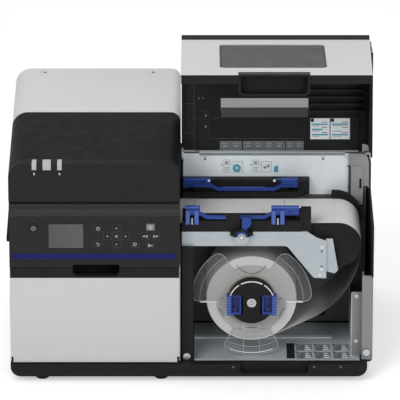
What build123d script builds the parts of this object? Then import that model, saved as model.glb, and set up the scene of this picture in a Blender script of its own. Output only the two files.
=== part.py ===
from build123d import *
import os
from math import acos, atan2, cos, degrees, sin, sqrt

os.makedirs("parts", exist_ok=True)

# Label printer: a print unit on the left and a roll bay with a raised cover on the right.
# While modelling, X runs to the right, Y runs back from the front face and Z up from the floor.
# Every solid is moved at the end, so that the origin is at the middle of the footprint box.

# Whole body
body_width = 604
body_depth = 412
foot_height = 10.4
base_top = 33
skin = 3
seam = 1
unit_gap = 2
print_unit_width = 283
right = body_width / 2
left = -right
print_unit_right = left + print_unit_width
bay_left = print_unit_right + unit_gap
unit_middle = (left + print_unit_right) / 2
base_floor = foot_height
base_round = 17

# Print unit
hood_front_top = 390
hood_rear_top = 412
hood_left_round = 27
hood_right_round = 16
hood_bottom = 322.5
hood_depth = 215
crease_round = 4
case_top = 205.5
case_front = 14
panel_round = 12
panel_lip = 20
panel_bottom = case_top + seam
panel_top = hood_bottom - 1.5
groove_z = 216
stripe_low = 221.5
stripe_height = 8.9
stripe_x = (left + 6.2, print_unit_right - 6.6)
stripe_proud = 0.4
stripe_sunk = 0.8
panel_side = 0.5
groove_width = 0.8
skirt = 2.5
skirt_front = panel_lip + 10
low_skirt_z = (case_top - 1.8, panel_bottom + 6)
high_skirt_z = (panel_top - 6, hood_bottom + 4)
vent_rows = 8
vent_low = 180
vent_pitch = 9
vent_height = 4
vent_x = (left + 42, left + 122)
bay_vent_x = (right - 182, right - 102)
inlet_x = (print_unit_right - 101, print_unit_right - 51)
supply_x = (left + 17, print_unit_right - 41)
supply_front = 270
supply_top = 150
edge_round = 2
inlet_z = (60, 90)
socket_inset_x = 12
socket_inset_z = 7
socket_depth = 18

# Screen and keys on the control panel
screen_x = left + 94.5
screen_z = 261.7
screen_width = 58.6
screen_height = 44
screen_glass = 2.4
frame_lip = 2
key_size = 11
key_round = 1.5
key_gap = 0.35
key_proud = 0.8
key_flange = 1
key_rim = 1.1
seat_gap = 0.3
pad_x = screen_x + 83.5
pad_z = 261.8
pad_pitch_x = 15.1
pad_pitch_z = 14.1
feed_x = pad_x + 56.2
feed_pitch = 8.5
feed_step = 16.2
power_x = left + 41.1
power_z = 275.7
power_size = 17.4
pause_width = 14.2
pause_height = 11.7

# Status windows across the hood's front crease
lamp_spans = ((left + 39.5, left + 46.9), (left + 57.4, left + 70.7), (left + 81.4, left + 88.7))
lamp_back = 16.6
lamp_drop = 11.6
lamp_wall = 2.6

# Ink door and what stands behind it
door_low = base_top + 1.3
door_top = 187.5
door_side_gap = 1.5
door_depth = 12
door_skin = 2.5
door_round = 5
door_pin_radius = 2.5
pin_clearance = 0.05
ear_width = 3
ear_gap = 0.3
door_rib = 2
door_rib_count = 6
finger_left = unit_middle - 36.3
finger_right = unit_middle + 40.9
finger_low = 190.5
finger_round = 8
finger_reach = 22
ink_frame_front = case_front + 1
ink_frame_depth = 235
ink_frame_wall = 4
cartridge_count = 4
cartridge_bay = 46
cartridge_height = 128
cartridge_depth = 190
cartridge_gap = 0.8
waste_height = 84
waste_depth = 180

# Base tray and feet
base_rim_right = 9
base_ribs = 7
base_rib = 4
tray_wall_left = skin + 12
tray_wall_right = skin + 8
recess_x = (bay_left + 98, bay_left + 212)
recess_low = base_floor + 5.6
recess_round = 6
recess_depth = 12
ear_radius = 4.4
ledge_drop = 4
foot_left = left + 52.5
foot_middle = print_unit_right - 31.7
foot_right = right - 36
foot_front = 24
foot_side = 52
foot_back = body_depth - 24
foot_places = (
    (foot_left, foot_front), (foot_middle, foot_front), (foot_right, foot_side),
    (foot_left, foot_back), (foot_right, foot_back),
)
foot_radius = 11.5

# Print engine inside the hood
engine_x = (left + 40, print_unit_right - 15)
engine_y = (panel_lip + 1, hood_depth - 7)
engine_wall = 4
engine_high = 345
carriage_middle = left + 157
rail_xs = (carriage_middle - 30, carriage_middle + 30)
rail_z = 325
rail_radius = 5
carriage_x = (carriage_middle - 53, carriage_middle + 53)
carriage_y = (66, 134)
roller_x = print_unit_right - 39
roller_radius = 8
journal_radius = 4

# Label web and its guides
web_width = 112
web_front = 48
web_thickness = 0.4
web_top = 266.6
web_end_x = left + 50
web_turn_radius = 38
web_turn_x = right - 58
loop_radius = 148.2
roll_x = bay_left + 117
roll_z = 132
roll_radius = 75
core_radius = 41
core_bore = 38.2
roll_slack = 0.35
guide_slot_z = (245, 312)
exit_y = (web_front - 6, web_front + web_width + 8)
exit_z = (256, 277)
exit_bezel_z = (239, 297)
exit_bezel_reach = 5.5
teeth = 7
tooth_start = -1.9
tooth_span = 1.15
tooth_radius = 1.6
cheek_reach = 45
cheek_drop = 1.2
bed_thickness = 2.4
bar_start = -0.3
bar_step = 0.45
turn_bar_radius = 2.2
turn_bar_inset = 3.5
turn_shaft_radius = 8
turn_bars = 5
rear_cheek_radius = 44.5

# Roll holder
hub_radius = 38
hub_proud = 19
flange_radius = 101
flange_thickness = 2.4
flange_gap = 0.3
shaft_radius = 12
flange_inner_radius = 60
flange_rim = 3
wing_round = 13
wing_root = 7
wing_angles = ((2.65, 0.545), (0.49, 0.545), (-1.5708, 0.52))
clip_width = 24
clip_height = 34.8
clip_drop = 4.2
clip_depth = 12
clip_travel = 3
clip_x = 29.5
clip_play = 0.15
cap_radius = 8

# Bay frame
bay_back = 188.5
back_wall_top = 321
plate = 1.5
floor_z = 30
floor_front = 22
side_front = 10
stop_radius = 6
floor_left = bay_left + 21
floor_right = right - 21
floor_jamb_y = 40
floor_jamb_top = 146
jamb_front = 20
shelf_end = right - 78.2
shelf_leg_low = 177
link_low = 184
jamb_screw_x = right - 27
main_plate_low = 281
plate_screw_x = (bay_left + 39.5, right - 81)
plate_screw_z = 333
corner_screw_x = right - 42
plate_flange = 10
lower_jamb_top = 183
lower_jamb_left = right - 18.1
upper_jamb_left = right - 38
jamb_y = (183, 186)
shelf_front = 25
shelf_top = 259.6
shelf_low = 234.6
shelf_turn_x = shelf_end - 64.7
shelf_drop_x = shelf_end - 31.8
shelf_knee = (shelf_end - 15.1, shelf_top - 10.8)
shelf_shoulder = shelf_top - 16.1
shelf_leg_x = shelf_end - 20.9
shelf_round = 5
leg_screw_x = shelf_end - 7.8
leg_hole_z = (shelf_leg_low + 48, shelf_leg_low + 21)
leg_hole_radius = 1.6
link_top = link_low + 62
link_foot = link_low + 4
link_step_top = link_low + 59
link_x = (shelf_end - 0.8, shelf_end + 0.2, shelf_end + 10.2, shelf_end + 14.2, shelf_end + 19.7)
link_back = 4
guide_top = 297
front_guide_y = (26, 46.5)
rear_guide_y = (161.5, 186.5)
guide_right = web_turn_x - 62
guide_end = guide_right + 16
guide_cheek = 6
bar_low = 279.6
bar_rise = 6.4
bar_height = 6
bar_front = 3.5
bar_pin_radius = 2.5
bar_pin_back = 16
bar_pin_rise = 10
arm_inset = 8
arm_width = 6
arm_room = 3
rear_bar_top = 302.5
front_bar_top = 305
front_bar_lift = 2.5
fork_width = 22
fork_low = 273
fork_slot = 7
fork_proud = 2.4
lever_x = bay_left + 100
lever_z = 253
lever_hub = 11
lever_depth = 7
lever_pin_radius = 4
lever_washer_radius = 6.5
lever_gap = 0.3
stem_x = (lever_x + 1, lever_x + 9)
stem_z = (lever_z + 6, lever_z + 20)
tab_x = (lever_x + 0.6, lever_x + 16)
tab_z = (lever_z + 17, lever_z + 35)
tab_slant_x = 4
tab_slant_low = 7
tab_corner_x = 3
tab_corner_z = 5

# Roll cover
axis_y = 194
axis_z = 336
open_angle = 98.2
cover_top = 350
cover_rear_reach = 1
cover_low = 36
cover_side_low = 275.5
cover_round = 20
rim_depth = 14.5
rim_low = 336.2
strip_lap = 3
front_right_high = right - 4
front_right_low = right - 9
visor_low = rim_low
visor_reach = 5.5
liner_thickness = 5
liner_side = 2.5
liner_rib = 2.5
louvres = 5
louvre_front = 72
louvre_pitch = 12
louvre_width = 4
louvre_drop = 9
frame_inset = 0.4
frame_wall = 4
frame_back = 3
liner_rail_z = (76, 316)
liner_post_x = (bay_left + 45, right - 62, right - 34)
liner_top_right = right - 21
bracket_x = (bay_left + 28.5, bay_left + 51.3)
bracket_y = (axis_y - 76.5, axis_y - 8.4)
bracket_drop = 2.5
plate_step_y = (axis_y - 62, axis_y - 22)
plate_step = 2
window_x = (bay_left + 63, right - 81)
window_z = (96, 294)
window_round = 10
louvre_left = right - 105
top_window_x = (bay_left + 63, louvre_left + 2)
top_window_y = (98, 137)
window_pane = 2.7
window_ledge = 4
window_frame = 8
top_window_ledge = 3
handle_x = (bay_left + 93, bay_left + 209)
handle_lap = 21
handle_wall = 4
handle_reach = 34
handle_round = 9
handle_proud = 1.2
hinge_pin_radius = 4
hinge_ear_radius = 10
cheek_x = (right - 12, right - 8)
rear_top_front = 211.5
rear_top_back = 366
rear_chamfer_low = 318


def block(x, y, z):
    """Box between a pair of limits on each axis."""
    centre = Pos((x[0] + x[1]) / 2, (y[0] + y[1]) / 2, (z[0] + z[1]) / 2)
    return centre * Box(x[1] - x[0], y[1] - y[0], z[1] - z[0])


def outline(*points):
    return make_face(Polyline(*points, close=True))


def back_prism(face, y):
    """Outline drawn as (x, z), pushed back between two depths."""
    return extrude(Plane.XZ.offset(-y[0]) * face, y[1] - y[0], dir=(0, 1, 0))


def across_prism(face, x):
    """Outline drawn as (depth, z), pushed across between two places."""
    return extrude(Plane.YZ.offset(x[0]) * face, x[1] - x[0], dir=(1, 0, 0))


def up_prism(face, z):
    return extrude(Plane.XY.offset(z[0]) * face, z[1] - z[0], dir=(0, 0, 1))


def rounded_at(face, radius, *spots):
    """Round the outline's corners at the given places."""
    picked = [v for v in face.vertices() for s in spots if abs(v.X - s[0]) + abs(v.Y - s[1]) < 0.01]
    return fillet(picked, radius)


def plate_outline(x, z, radius):
    centre = Pos((x[0] + x[1]) / 2, (z[0] + z[1]) / 2)
    return centre * RectangleRounded(x[1] - x[0], z[1] - z[0], radius)


def rod_y(x, z, radius, y):
    """Round bar along the depth."""
    return back_prism(Pos(x, z) * Circle(radius), y)


def rod_x(y, z, radius, x):
    """Round bar across the machine."""
    return across_prism(Pos(y, z) * Circle(radius), x)


def screw_head(x, y, z, radius=3.2, height=1.6, slot=0.7):
    """Pan head seen from the front, with a cross cut in it."""
    head = rod_y(x, z, radius, (y - height, y))
    for wide, tall in ((radius, slot), (slot, radius)):
        cut_x, cut_z = (x - wide / 2, x + wide / 2), (z - tall / 2, z + tall / 2)
        head -= block(cut_x, (y - height, y - height / 2), cut_z)
    return head


# Print unit


def hood_top(y):
    return hood_front_top + (hood_rear_top - hood_front_top) * y / body_depth


def hood_section(y, low, inset):
    high = hood_top(y) - inset
    sides = (left + inset, print_unit_right - inset)
    face = outline((sides[0], low), (sides[1], low), (sides[1], high), (sides[0], high))
    face = rounded_at(face, hood_left_round - inset, (sides[0], high))
    face = rounded_at(face, hood_right_round - inset, (sides[1], high))
    return Plane.XZ.offset(-y) * face


def hood_body(y, low, inset=0):
    return loft([hood_section(y[0], low, inset), hood_section(y[1], low, inset)], ruled=True)


def hood_shape():
    """Front part of the hood with its softened crease."""
    body = hood_body((0, hood_depth), hood_bottom)
    front = body.faces().sort_by(Axis.Y)[0]
    return fillet([e for e in front.edges() if e.center().Z > hood_bottom + skin], crease_round)


def lamp_blocks():
    return [
        block(span, (-1, lamp_back), (hood_front_top - lamp_drop, hood_rear_top))
        for span in lamp_spans
    ]


def hood_front_cover():
    shell = hood_shape() - hood_body((skin, hood_depth + 1), hood_bottom - 1, skin)
    for lamp in lamp_blocks():
        shell -= lamp
    return shell


def status_windows():
    inside = hood_body((lamp_wall, hood_depth + 1), hood_bottom - 1, lamp_wall)
    skin_only = hood_shape() - inside
    return [skin_only & lamp for lamp in lamp_blocks()]


def left_casing():
    rear = hood_body((hood_depth + seam, body_depth), base_top)
    back = rear.faces().sort_by(Axis.Y)[-1]
    rear = fillet([e for e in back.edges() if e.center().Z > base_top + skin], 6)
    low = block((left, print_unit_right), (case_front, hood_depth + 2), (base_top, case_top))
    inner = hood_body((hood_depth, body_depth - skin), base_top - 1, skin)
    inner_x = (left + skin, print_unit_right - skin)
    inner += block(inner_x, (case_front - 1, hood_depth + 3), (base_top - 1, case_top + 1))
    shell = rear + low - inner
    shell -= block(inlet_x, (body_depth - skin - 1, body_depth + 1), inlet_z)
    for row in range(vent_rows):
        z = vent_low + row * vent_pitch
        shell -= block(vent_x, (body_depth - skin - 1, body_depth + 1), (z, z + vent_height))
    return shell


def panel_outline(inset, low, back, high):
    face = outline((inset, low), (back, low), (back, high), (inset, high))
    return rounded_at(face, panel_round - inset, (inset, high))


def control_panel():
    sides = (left + panel_side, print_unit_right - panel_side)
    inner_x = (sides[0] + skin, sides[1] - skin)
    shell = across_prism(panel_outline(0, panel_bottom, hood_depth, panel_top), sides)
    shell -= across_prism(panel_outline(skin, panel_bottom - 1, hood_depth + 1, panel_top - skin), inner_x)
    shell -= block(inner_x, (panel_lip, hood_depth + 1), (panel_bottom - 1, panel_top + 1))
    front = (-1, skin + 1)
    shell -= back_prism(plate_outline(*screen_limits(0), key_round), front)
    for x, z, wide, tall, edge in key_places().values():
        hole = RectangleRounded(wide + 2 * key_gap, tall + 2 * key_gap, edge)
        shell -= back_prism(Pos(x, z) * hole, front)
    shell -= block(stripe_x, (-1, stripe_sunk), (stripe_low, stripe_low + stripe_height))
    shell -= block((sides[0] - 1, sides[1] + 1), (-1, groove_width), (groove_z, groove_z + groove_width))
    shell -= block((finger_left, finger_right), front, (panel_bottom - 1, panel_bottom + 5))
    shell -= block((print_unit_right - skin - 2, print_unit_right), (shelf_front - 5, bay_back), guide_slot_z)
    shell -= block((left - 1, left + skin + 1), exit_y, exit_z)
    for x in ((left + skin, left + skin + skirt), (print_unit_right - skin - skirt, print_unit_right - skin)):
        shell += block(x, (skirt_front, hood_depth), low_skirt_z)
        shell += block(x, (skirt_front, hood_depth), high_skirt_z)
    return shell


def screen_limits(grow):
    x = (screen_x - screen_width / 2 - grow, screen_x + screen_width / 2 + grow)
    z = (screen_z - screen_height / 2 - grow, screen_z + screen_height / 2 + grow)
    return x, z


def lcd_screen():
    glass = back_prism(plate_outline(*screen_limits(-0.2), key_round), (skin - screen_glass, skin + 0.5))
    return glass + back_prism(plate_outline(*screen_limits(frame_lip), key_round), (skin, skin + 3))


def key_places():
    """Centre, width, height and corner of every key, by name."""
    pad = {
        "home": (-2, 1), "up": (0, 1), "left": (-1, 0), "ok": (0, 0),
        "right": (1, 0), "back": (-2, -1), "down": (0, -1), "info": (2, -1),
    }
    places = {}
    for name, (column, row) in pad.items():
        x = pad_x + column * pad_pitch_x
        places["key_" + name] = (x, pad_z + row * pad_pitch_z, key_size, key_size, key_round)
    feed = {"feed_back": (-feed_pitch, 0), "feed_forward": (feed_pitch, 0), "cut": (0, -feed_step)}
    for name, (x, z) in feed.items():
        places["key_" + name] = (feed_x + x, pad_z + z, key_size, key_size, key_round)
    pause = (feed_x, pad_z + feed_step, pause_width, pause_height, key_round)
    places["key_pause"] = pause
    places["key_power"] = (power_x, power_z, power_size, power_size, power_size / 2 - 0.1)
    return places


def key_cap(x, z, wide, tall, edge):
    """Key with a rim behind the panel that keeps it in."""
    cap = back_prism(Pos(x, z) * RectangleRounded(wide, tall, edge - 0.2), (-key_proud, skin + seat_gap))
    rim = RectangleRounded(wide + 2 * key_rim, tall + 2 * key_rim, edge)
    return cap + back_prism(Pos(x, z) * rim, (skin + seat_gap, skin + seat_gap + key_flange))


def blue_stripe():
    return block(stripe_x, (-stripe_proud, stripe_sunk), (stripe_low, stripe_low + stripe_height))


def exit_guide():
    """Sloped bezel around the slot where finished labels leave."""
    reach = exit_bezel_reach
    profile = outline(
        (left + 0.5, exit_bezel_z[1]), (left - 1, exit_bezel_z[1]),
        (left - reach, exit_bezel_z[0] + 3), (left - reach + 1, exit_bezel_z[0]),
        (left + 0.5, exit_bezel_z[0]),
    )
    bezel = back_prism(profile, (exit_y[0] - 8, exit_y[1] + 8))
    return bezel - block((left - reach - 1, left + 1), exit_y, exit_z)


# Ink door and ink bay


def door_axis():
    return door_round, door_low + door_round


def door_x():
    return left + door_side_gap, print_unit_right - door_side_gap


def ink_door():
    x = door_x()
    y, z = door_axis()
    side = outline((0, door_low), (door_depth, door_low), (door_depth, door_top), (0, door_top))
    body = across_prism(rounded_at(side, door_round, (0, door_low)), x)
    hollow_x = (x[0] + door_skin, x[1] - door_skin)
    hollow = block(hollow_x, (door_skin, door_depth + 1), (door_low + door_skin, door_top - door_skin))
    body -= hollow
    step = (hollow_x[1] - hollow_x[0]) / (door_rib_count + 1)
    for rib in range(1, door_rib_count + 1):
        centre = hollow_x[0] + rib * step
        body += block(
            (centre - door_rib / 2, centre + door_rib / 2),
            (door_skin, door_depth - 4), (door_low + door_skin, door_top - door_skin),
        )
    notch = ear_width + 2 * ear_gap
    pad = 3
    for edge, way in ((x[0], 1), (x[1], -1)):
        inner = edge + way * notch
        span = sorted((edge - way, inner))
        body -= block(span, (-1, door_depth + 1), (door_low - 1, z + door_round + 2))
        cheek = sorted((inner, inner + way * pad))
        cheek_top = z + door_round + 2 + pad
        body += block(cheek, (door_skin - 1, door_depth), (door_low + door_skin / 2, cheek_top))
        body += rod_x(y, z, door_pin_radius, sorted((edge + way * ear_gap, inner + way)))
    return body


def ink_door_trim():
    """Black pull strip along the top of the ink door."""
    strip = block(door_x(), (0, door_depth), (door_top, case_top))
    pocket = outline(
        (finger_left, finger_low), (finger_right, finger_low),
        (finger_right, case_top + 1), (finger_left, case_top + 1),
    )
    pocket = rounded_at(pocket, finger_round, (finger_left, finger_low), (finger_right, finger_low))
    return strip - back_prism(pocket, (-1, door_depth + 1))


def ink_frame_x():
    return left + skin + seam, print_unit_right - skin - seam


def cartridge_bays():
    """Side limits of the cartridge bays, from left to right."""
    start = ink_frame_x()[0] + ink_frame_wall
    step = cartridge_bay + ink_frame_wall
    return [(start + i * step, start + i * step + cartridge_bay) for i in range(cartridge_count)]


def waste_bay():
    return cartridge_bays()[-1][1] + ink_frame_wall, ink_frame_x()[1] - ink_frame_wall


def ink_bay_frame():
    back = ink_frame_front + ink_frame_depth
    body = block(ink_frame_x(), (ink_frame_front, back), (base_top, case_top - 2))
    low = base_top + ink_frame_wall
    for bay in cartridge_bays():
        body -= block(bay, (ink_frame_front - 1, back - ink_frame_wall), (low, low + cartridge_height))
    body -= block(waste_bay(), (ink_frame_front - 1, back - ink_frame_wall), (low, low + waste_height))
    finger = (ink_frame_front - 1, ink_frame_front + finger_reach)
    body -= block((finger_left - 4, finger_right + 4), finger, (finger_low - 6, case_top))
    void_x = (ink_frame_x()[0] + ink_frame_wall, ink_frame_x()[1] - ink_frame_wall)
    void_y = (ink_frame_front + finger_reach + ink_frame_wall, back + 1)
    void_z = (low + cartridge_height + ink_frame_wall, case_top - 2 - ink_frame_wall)
    body -= block(void_x, void_y, void_z)
    return body


def ink_cartridges():
    """Four cartridges with a raised grip at the front, seated on the bay floors."""
    low = base_top + ink_frame_wall
    front = ink_frame_front + 4
    bodies = []
    for bay in cartridge_bays():
        x = (bay[0] + cartridge_gap, bay[1] - cartridge_gap)
        tank = block(x, (front, front + cartridge_depth), (low, low + cartridge_height - 6))
        tank = fillet(tank.edges().filter_by(Axis.Y), 3)
        grip = block((x[0] + 8, x[1] - 8), (front - 3, front + 1), (low + 30, low + 96))
        tank += fillet(grip.edges().filter_by(Axis.Y), 2)
        bodies.append(tank)
    return bodies


def maintenance_box():
    low = base_top + ink_frame_wall
    front = ink_frame_front + 4
    bay = waste_bay()
    x = (bay[0] + cartridge_gap, bay[1] - cartridge_gap)
    body = block(x, (front, front + waste_depth), (low, low + waste_height - 5))
    body = fillet(body.edges().filter_by(Axis.Y), 3)
    grip = block((x[0] + 14, x[1] - 14), (front - 1, front + 8), (low + 50, low + 66))
    return body - grip


# Print engine inside the hood

def roller_z():
    return web_top - web_thickness - roll_slack - roller_radius


def print_frame():
    """Cradle with the platen and two rails that the print head slides on."""
    low = case_top - 2
    base = block(engine_x, engine_y, (low, low + engine_wall))
    walls = ((engine_y[0], engine_y[0] + engine_wall), (engine_y[1] - engine_wall, engine_y[1]))
    for wall in walls:
        base += block(engine_x, wall, (low, engine_high))
    platen_top = web_top - web_thickness - roll_slack
    platen = block((engine_x[0] + 20, roller_x - roller_radius - 6), engine_y, (platen_top - 8, platen_top))
    for x in rail_xs:
        base += rod_y(x, rail_z, rail_radius, (engine_y[0] + 1, engine_y[1] - 1))
    base += platen
    bearing = journal_radius + pin_clearance
    return base - rod_y(roller_x, roller_z(), bearing, (engine_y[0] - 1, engine_y[1] + 1))


def print_carriage():
    body = block(carriage_x, carriage_y, (web_top + 18, rail_z + 18))
    body = chamfer(body.edges().filter_by(Axis.Y), 4)
    nozzle_y = (carriage_y[0] + 6, carriage_y[1] - 6)
    body += block((rail_xs[0] + 10, rail_xs[1] - 10), nozzle_y, (web_top + 1.5, web_top + 19))
    for x in rail_xs:
        body -= rod_y(x, rail_z, rail_radius + pin_clearance, (carriage_y[0] - 1, carriage_y[1] + 1))
    return body


def feed_roller():
    inside = (engine_y[0] + engine_wall + 0.5, engine_y[1] - engine_wall - 0.5)
    roller = rod_y(roller_x, roller_z(), roller_radius, inside)
    return roller + rod_y(roller_x, roller_z(), journal_radius, (engine_y[0] + 0.5, engine_y[1] - 0.5))


def power_unit():
    """Power supply box with its mains inlet socket through the rear wall."""
    box = block(supply_x, (supply_front, body_depth - skin - 1), (base_top, supply_top))
    box = fillet(box.edges().filter_by(Axis.Y), edge_round)
    x = (inlet_x[0] + seat_gap, inlet_x[1] - seat_gap)
    z = (inlet_z[0] + seat_gap, inlet_z[1] - seat_gap)
    socket = block(x, (body_depth - skin - 2, body_depth), z)
    mouth = block(
        (inlet_x[0] + socket_inset_x, inlet_x[1] - socket_inset_x),
        (body_depth - socket_depth, body_depth + 1),
        (inlet_z[0] + socket_inset_z, inlet_z[1] - socket_inset_z),
    )
    return box + socket - mouth


# Base


def base_tray():
    x = (left, right - base_rim_right)
    face = outline((x[0], base_floor), (x[1], base_floor), (x[1], base_top), (x[0], base_top))
    face = rounded_at(face, base_round, (x[0], base_floor), (x[1], base_floor))
    tray = back_prism(face, (0, body_depth))
    ledge = outline(
        (x[1] - 1, base_top - ledge_drop), (right - ledge_drop, base_top - ledge_drop),
        (right, base_top), (x[1] - 1, base_top),
    )
    tray += back_prism(ledge, (jamb_front, body_depth))
    inner = (x[0] + tray_wall_left, x[1] - tray_wall_right)
    deep = (tray_wall_left, body_depth - skin)
    tray -= block(inner, deep, (base_floor + skin, base_top + 1))
    tray += block((print_unit_right - skin, floor_left), deep, (base_floor, base_top))
    span = inner[1] - inner[0]
    for rib in range(1, base_ribs + 1):
        centre = inner[0] + rib * span / (base_ribs + 1)
        top = base_top if centre < print_unit_right else floor_z - plate
        tray += block((centre - base_rib / 2, centre + base_rib / 2), deep, (base_floor + skin, top))
    recess = outline(
        (recess_x[0], recess_low), (recess_x[1], recess_low),
        (recess_x[1], base_top + 1), (recess_x[0], base_top + 1),
    )
    recess = rounded_at(recess, recess_round, (recess_x[0], recess_low), (recess_x[1], recess_low))
    tray -= back_prism(recess, (-1, recess_depth))
    y, z = door_axis()
    door = door_x()
    for edge, way in ((door[0], 1), (door[1], -1)):
        span = sorted((edge + way * ear_gap, edge + way * (ear_gap + ear_width)))
        ear = block(span, (y - 4, y + 4), (base_top - 1, z)) + rod_x(y, z, ear_radius, span)
        tray += ear
        tray -= rod_x(y, z, door_pin_radius + pin_clearance, (span[0] - 0.01, span[1] + 0.01))
    return tray


def feet():
    pads = []
    for x, y in foot_places:
        pad = Pos(x, y, 0) * Cylinder(foot_radius, foot_height, align=(Align.CENTER, Align.CENTER, Align.MIN))
        pads.append(chamfer(pad.edges().sort_by(Axis.Z)[0], 1.5))
    return pads


# Label web, roll and roll holder


def web_line(offset):
    """Centre line of the web, from the print unit round the guide to the roll."""
    radius = web_turn_radius + offset
    turn_z = web_top - web_turn_radius
    turn = (web_turn_x, turn_z)
    loop_x = web_turn_x + web_turn_radius - loop_radius
    gap = roll_radius + roll_slack + web_thickness / 2
    apart_x, apart_z = roll_x - loop_x, roll_z - turn_z
    distance = sqrt(apart_x ** 2 + apart_z ** 2)
    swing = acos((loop_radius - gap) / distance)
    normal = atan2(apart_z, apart_x) + swing
    outer = loop_radius + offset
    lift = sqrt(0.5)
    leave = (loop_x + outer * cos(normal), turn_z + outer * sin(normal))
    reach = (roll_x + (gap + offset) * cos(normal), roll_z + (gap + offset) * sin(normal))
    top = (turn[0], turn_z + radius)
    side = (turn[0] + radius, turn_z)
    middle = (loop_x + outer * cos(normal / 2), turn_z + outer * sin(normal / 2))
    corner = (turn[0] + radius * lift, turn_z + radius * lift)
    return top, corner, side, middle, leave, reach


def label_web():
    half = web_thickness / 2
    out_top, out_corner, out_side, out_middle, out_leave, out_reach = web_line(half)
    in_top, in_corner, in_side, in_middle, in_leave, in_reach = web_line(-half)
    edges = [
        Line((web_end_x, out_top[1]), out_top), ThreePointArc(out_top, out_corner, out_side),
        ThreePointArc(out_side, out_middle, out_leave), Line(out_leave, out_reach),
        Line(out_reach, in_reach), Line(in_reach, in_leave),
        ThreePointArc(in_leave, in_middle, in_side), ThreePointArc(in_side, in_corner, in_top),
        Line(in_top, (web_end_x, in_top[1])), Line((web_end_x, in_top[1]), (web_end_x, out_top[1])),
    ]
    return back_prism(make_face(edges), (web_front, web_front + web_width))


def label_roll():
    ring = Pos(roll_x, roll_z) * (Circle(roll_radius) - Circle(core_radius))
    return back_prism(ring, (web_front, web_front + web_width))


def roll_core():
    ring = Pos(roll_x, roll_z) * (Circle(core_radius) - Circle(core_bore))
    return back_prism(ring, (web_front, web_front + web_width))


def flange_front():
    return web_front - flange_gap - flange_thickness


def lobe(angle, half):
    """Wing of the clear flange: a sector between the label roll and the rim."""
    wing = Circle(flange_radius) - Circle(core_radius + 4)
    span = 3 * flange_radius
    sector = outline((0, 0), (span * cos(half), span * sin(half)), (span * cos(half), -span * sin(half)))
    return Rot(0, 0, degrees(angle)) * (wing & sector)


def roll_flange():
    """Clear flange with three wings, moulded ribs and a rounded outline."""
    disc = Sketch() + Circle(flange_inner_radius)
    for angle, half in wing_angles:
        disc += lobe(angle, half)
    tips = [v for v in disc.vertices() if abs(sqrt(v.X ** 2 + v.Y ** 2) - flange_radius) < 0.1]
    disc = fillet(tips, wing_round)
    roots = [v for v in disc.vertices() if abs(sqrt(v.X ** 2 + v.Y ** 2) - flange_inner_radius) < 0.1]
    disc = fillet(roots, wing_root)
    disc -= Circle(hub_radius + seat_gap)
    y = (flange_front(), flange_front() + flange_thickness)
    body = back_prism(Pos(roll_x, roll_z) * disc, y)
    rim = disc & (Circle(flange_radius) - Circle(flange_radius - 2))
    body += back_prism(Pos(roll_x, roll_z) * rim, (y[0] - flange_rim, y[1]))
    ring = Circle(flange_inner_radius) - Circle(flange_inner_radius - 2)
    return body + back_prism(Pos(roll_x, roll_z) * ring, (y[0] - flange_rim / 2, y[1]))


def roll_spindle():
    """Turning hub: a black nose in front of the flange, a sleeve in the core and a shaft to the back."""
    nose_front = flange_front() - hub_proud
    sleeve_back = web_front + web_width
    body = rod_y(roll_x, roll_z, hub_radius, (nose_front, sleeve_back))
    nose = body.faces().sort_by(Axis.Y)[0]
    body = fillet(nose.edges(), 4)
    for way in (-1, 1):
        slot = clip_x - clip_width / 2 - clip_travel - clip_play
        x = sorted((roll_x + way * slot, roll_x + way * (clip_x + clip_width)))
        body -= block(x, (nose_front - 1, nose_front + clip_depth + clip_play), clip_z(clip_play))
    body -= rod_y(roll_x, roll_z, cap_radius + 0.6, (nose_front - 1, nose_front + 2.2))
    body += rod_y(roll_x, roll_z, cap_radius, (nose_front + 0.4, nose_front + 3))
    return body + rod_y(roll_x, roll_z, shaft_radius, (sleeve_back - 1, bay_back + 3))


def clip_z(grow):
    middle = roll_z - clip_drop
    return middle - clip_height / 2 - grow, middle + clip_height / 2 + grow


def hub_clip(way):
    """Squeeze clip in the side of the hub: a ridged finger pad on a sliding block."""
    nose_front = flange_front() - hub_proud
    x = sorted((roll_x + way * (clip_x - clip_width / 2), roll_x + way * (clip_x + clip_width / 2)))
    z = clip_z(0)
    body = block(x, (nose_front + 1.5, nose_front + clip_depth), z)
    pad = sorted((roll_x + way * (clip_x + clip_width / 2), roll_x + way * (clip_x + clip_width / 2 - 8)))
    body += block(pad, (nose_front - 2.5, nose_front + 2), z)
    inner = clip_x - clip_width / 2 + 3
    hollow = sorted((roll_x + way * inner, roll_x + way * (clip_x + clip_width / 2 - 8)))
    return body - block(hollow, (nose_front, nose_front + 6), (z[0] + 5, z[1] - 3))


def cheek_outline(radius):
    """Front cheek of the turn guide: round over the turn, toothed below."""
    turn_z = web_top - web_turn_radius
    face = Pos(web_turn_x, turn_z) * Circle(radius)
    face += outline(
        (web_turn_x - cheek_reach, web_top - cheek_drop), (web_turn_x, web_top - cheek_drop),
        (web_turn_x, turn_z - radius + 2),
        (web_turn_x - 8, turn_z - radius - 4), (web_turn_x - 11, turn_z - 18), (web_turn_x - 14, turn_z + 8),
        (web_turn_x - 32, turn_z + 9), (web_turn_x - cheek_reach, turn_z + 19),
    )
    for tooth in range(teeth):
        angle = tooth_start + tooth * tooth_span / (teeth - 1)
        spot = Pos(web_turn_x + (radius + 0.5) * cos(angle), turn_z + (radius + 0.5) * sin(angle))
        face -= spot * Circle(tooth_radius)
    return face


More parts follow.
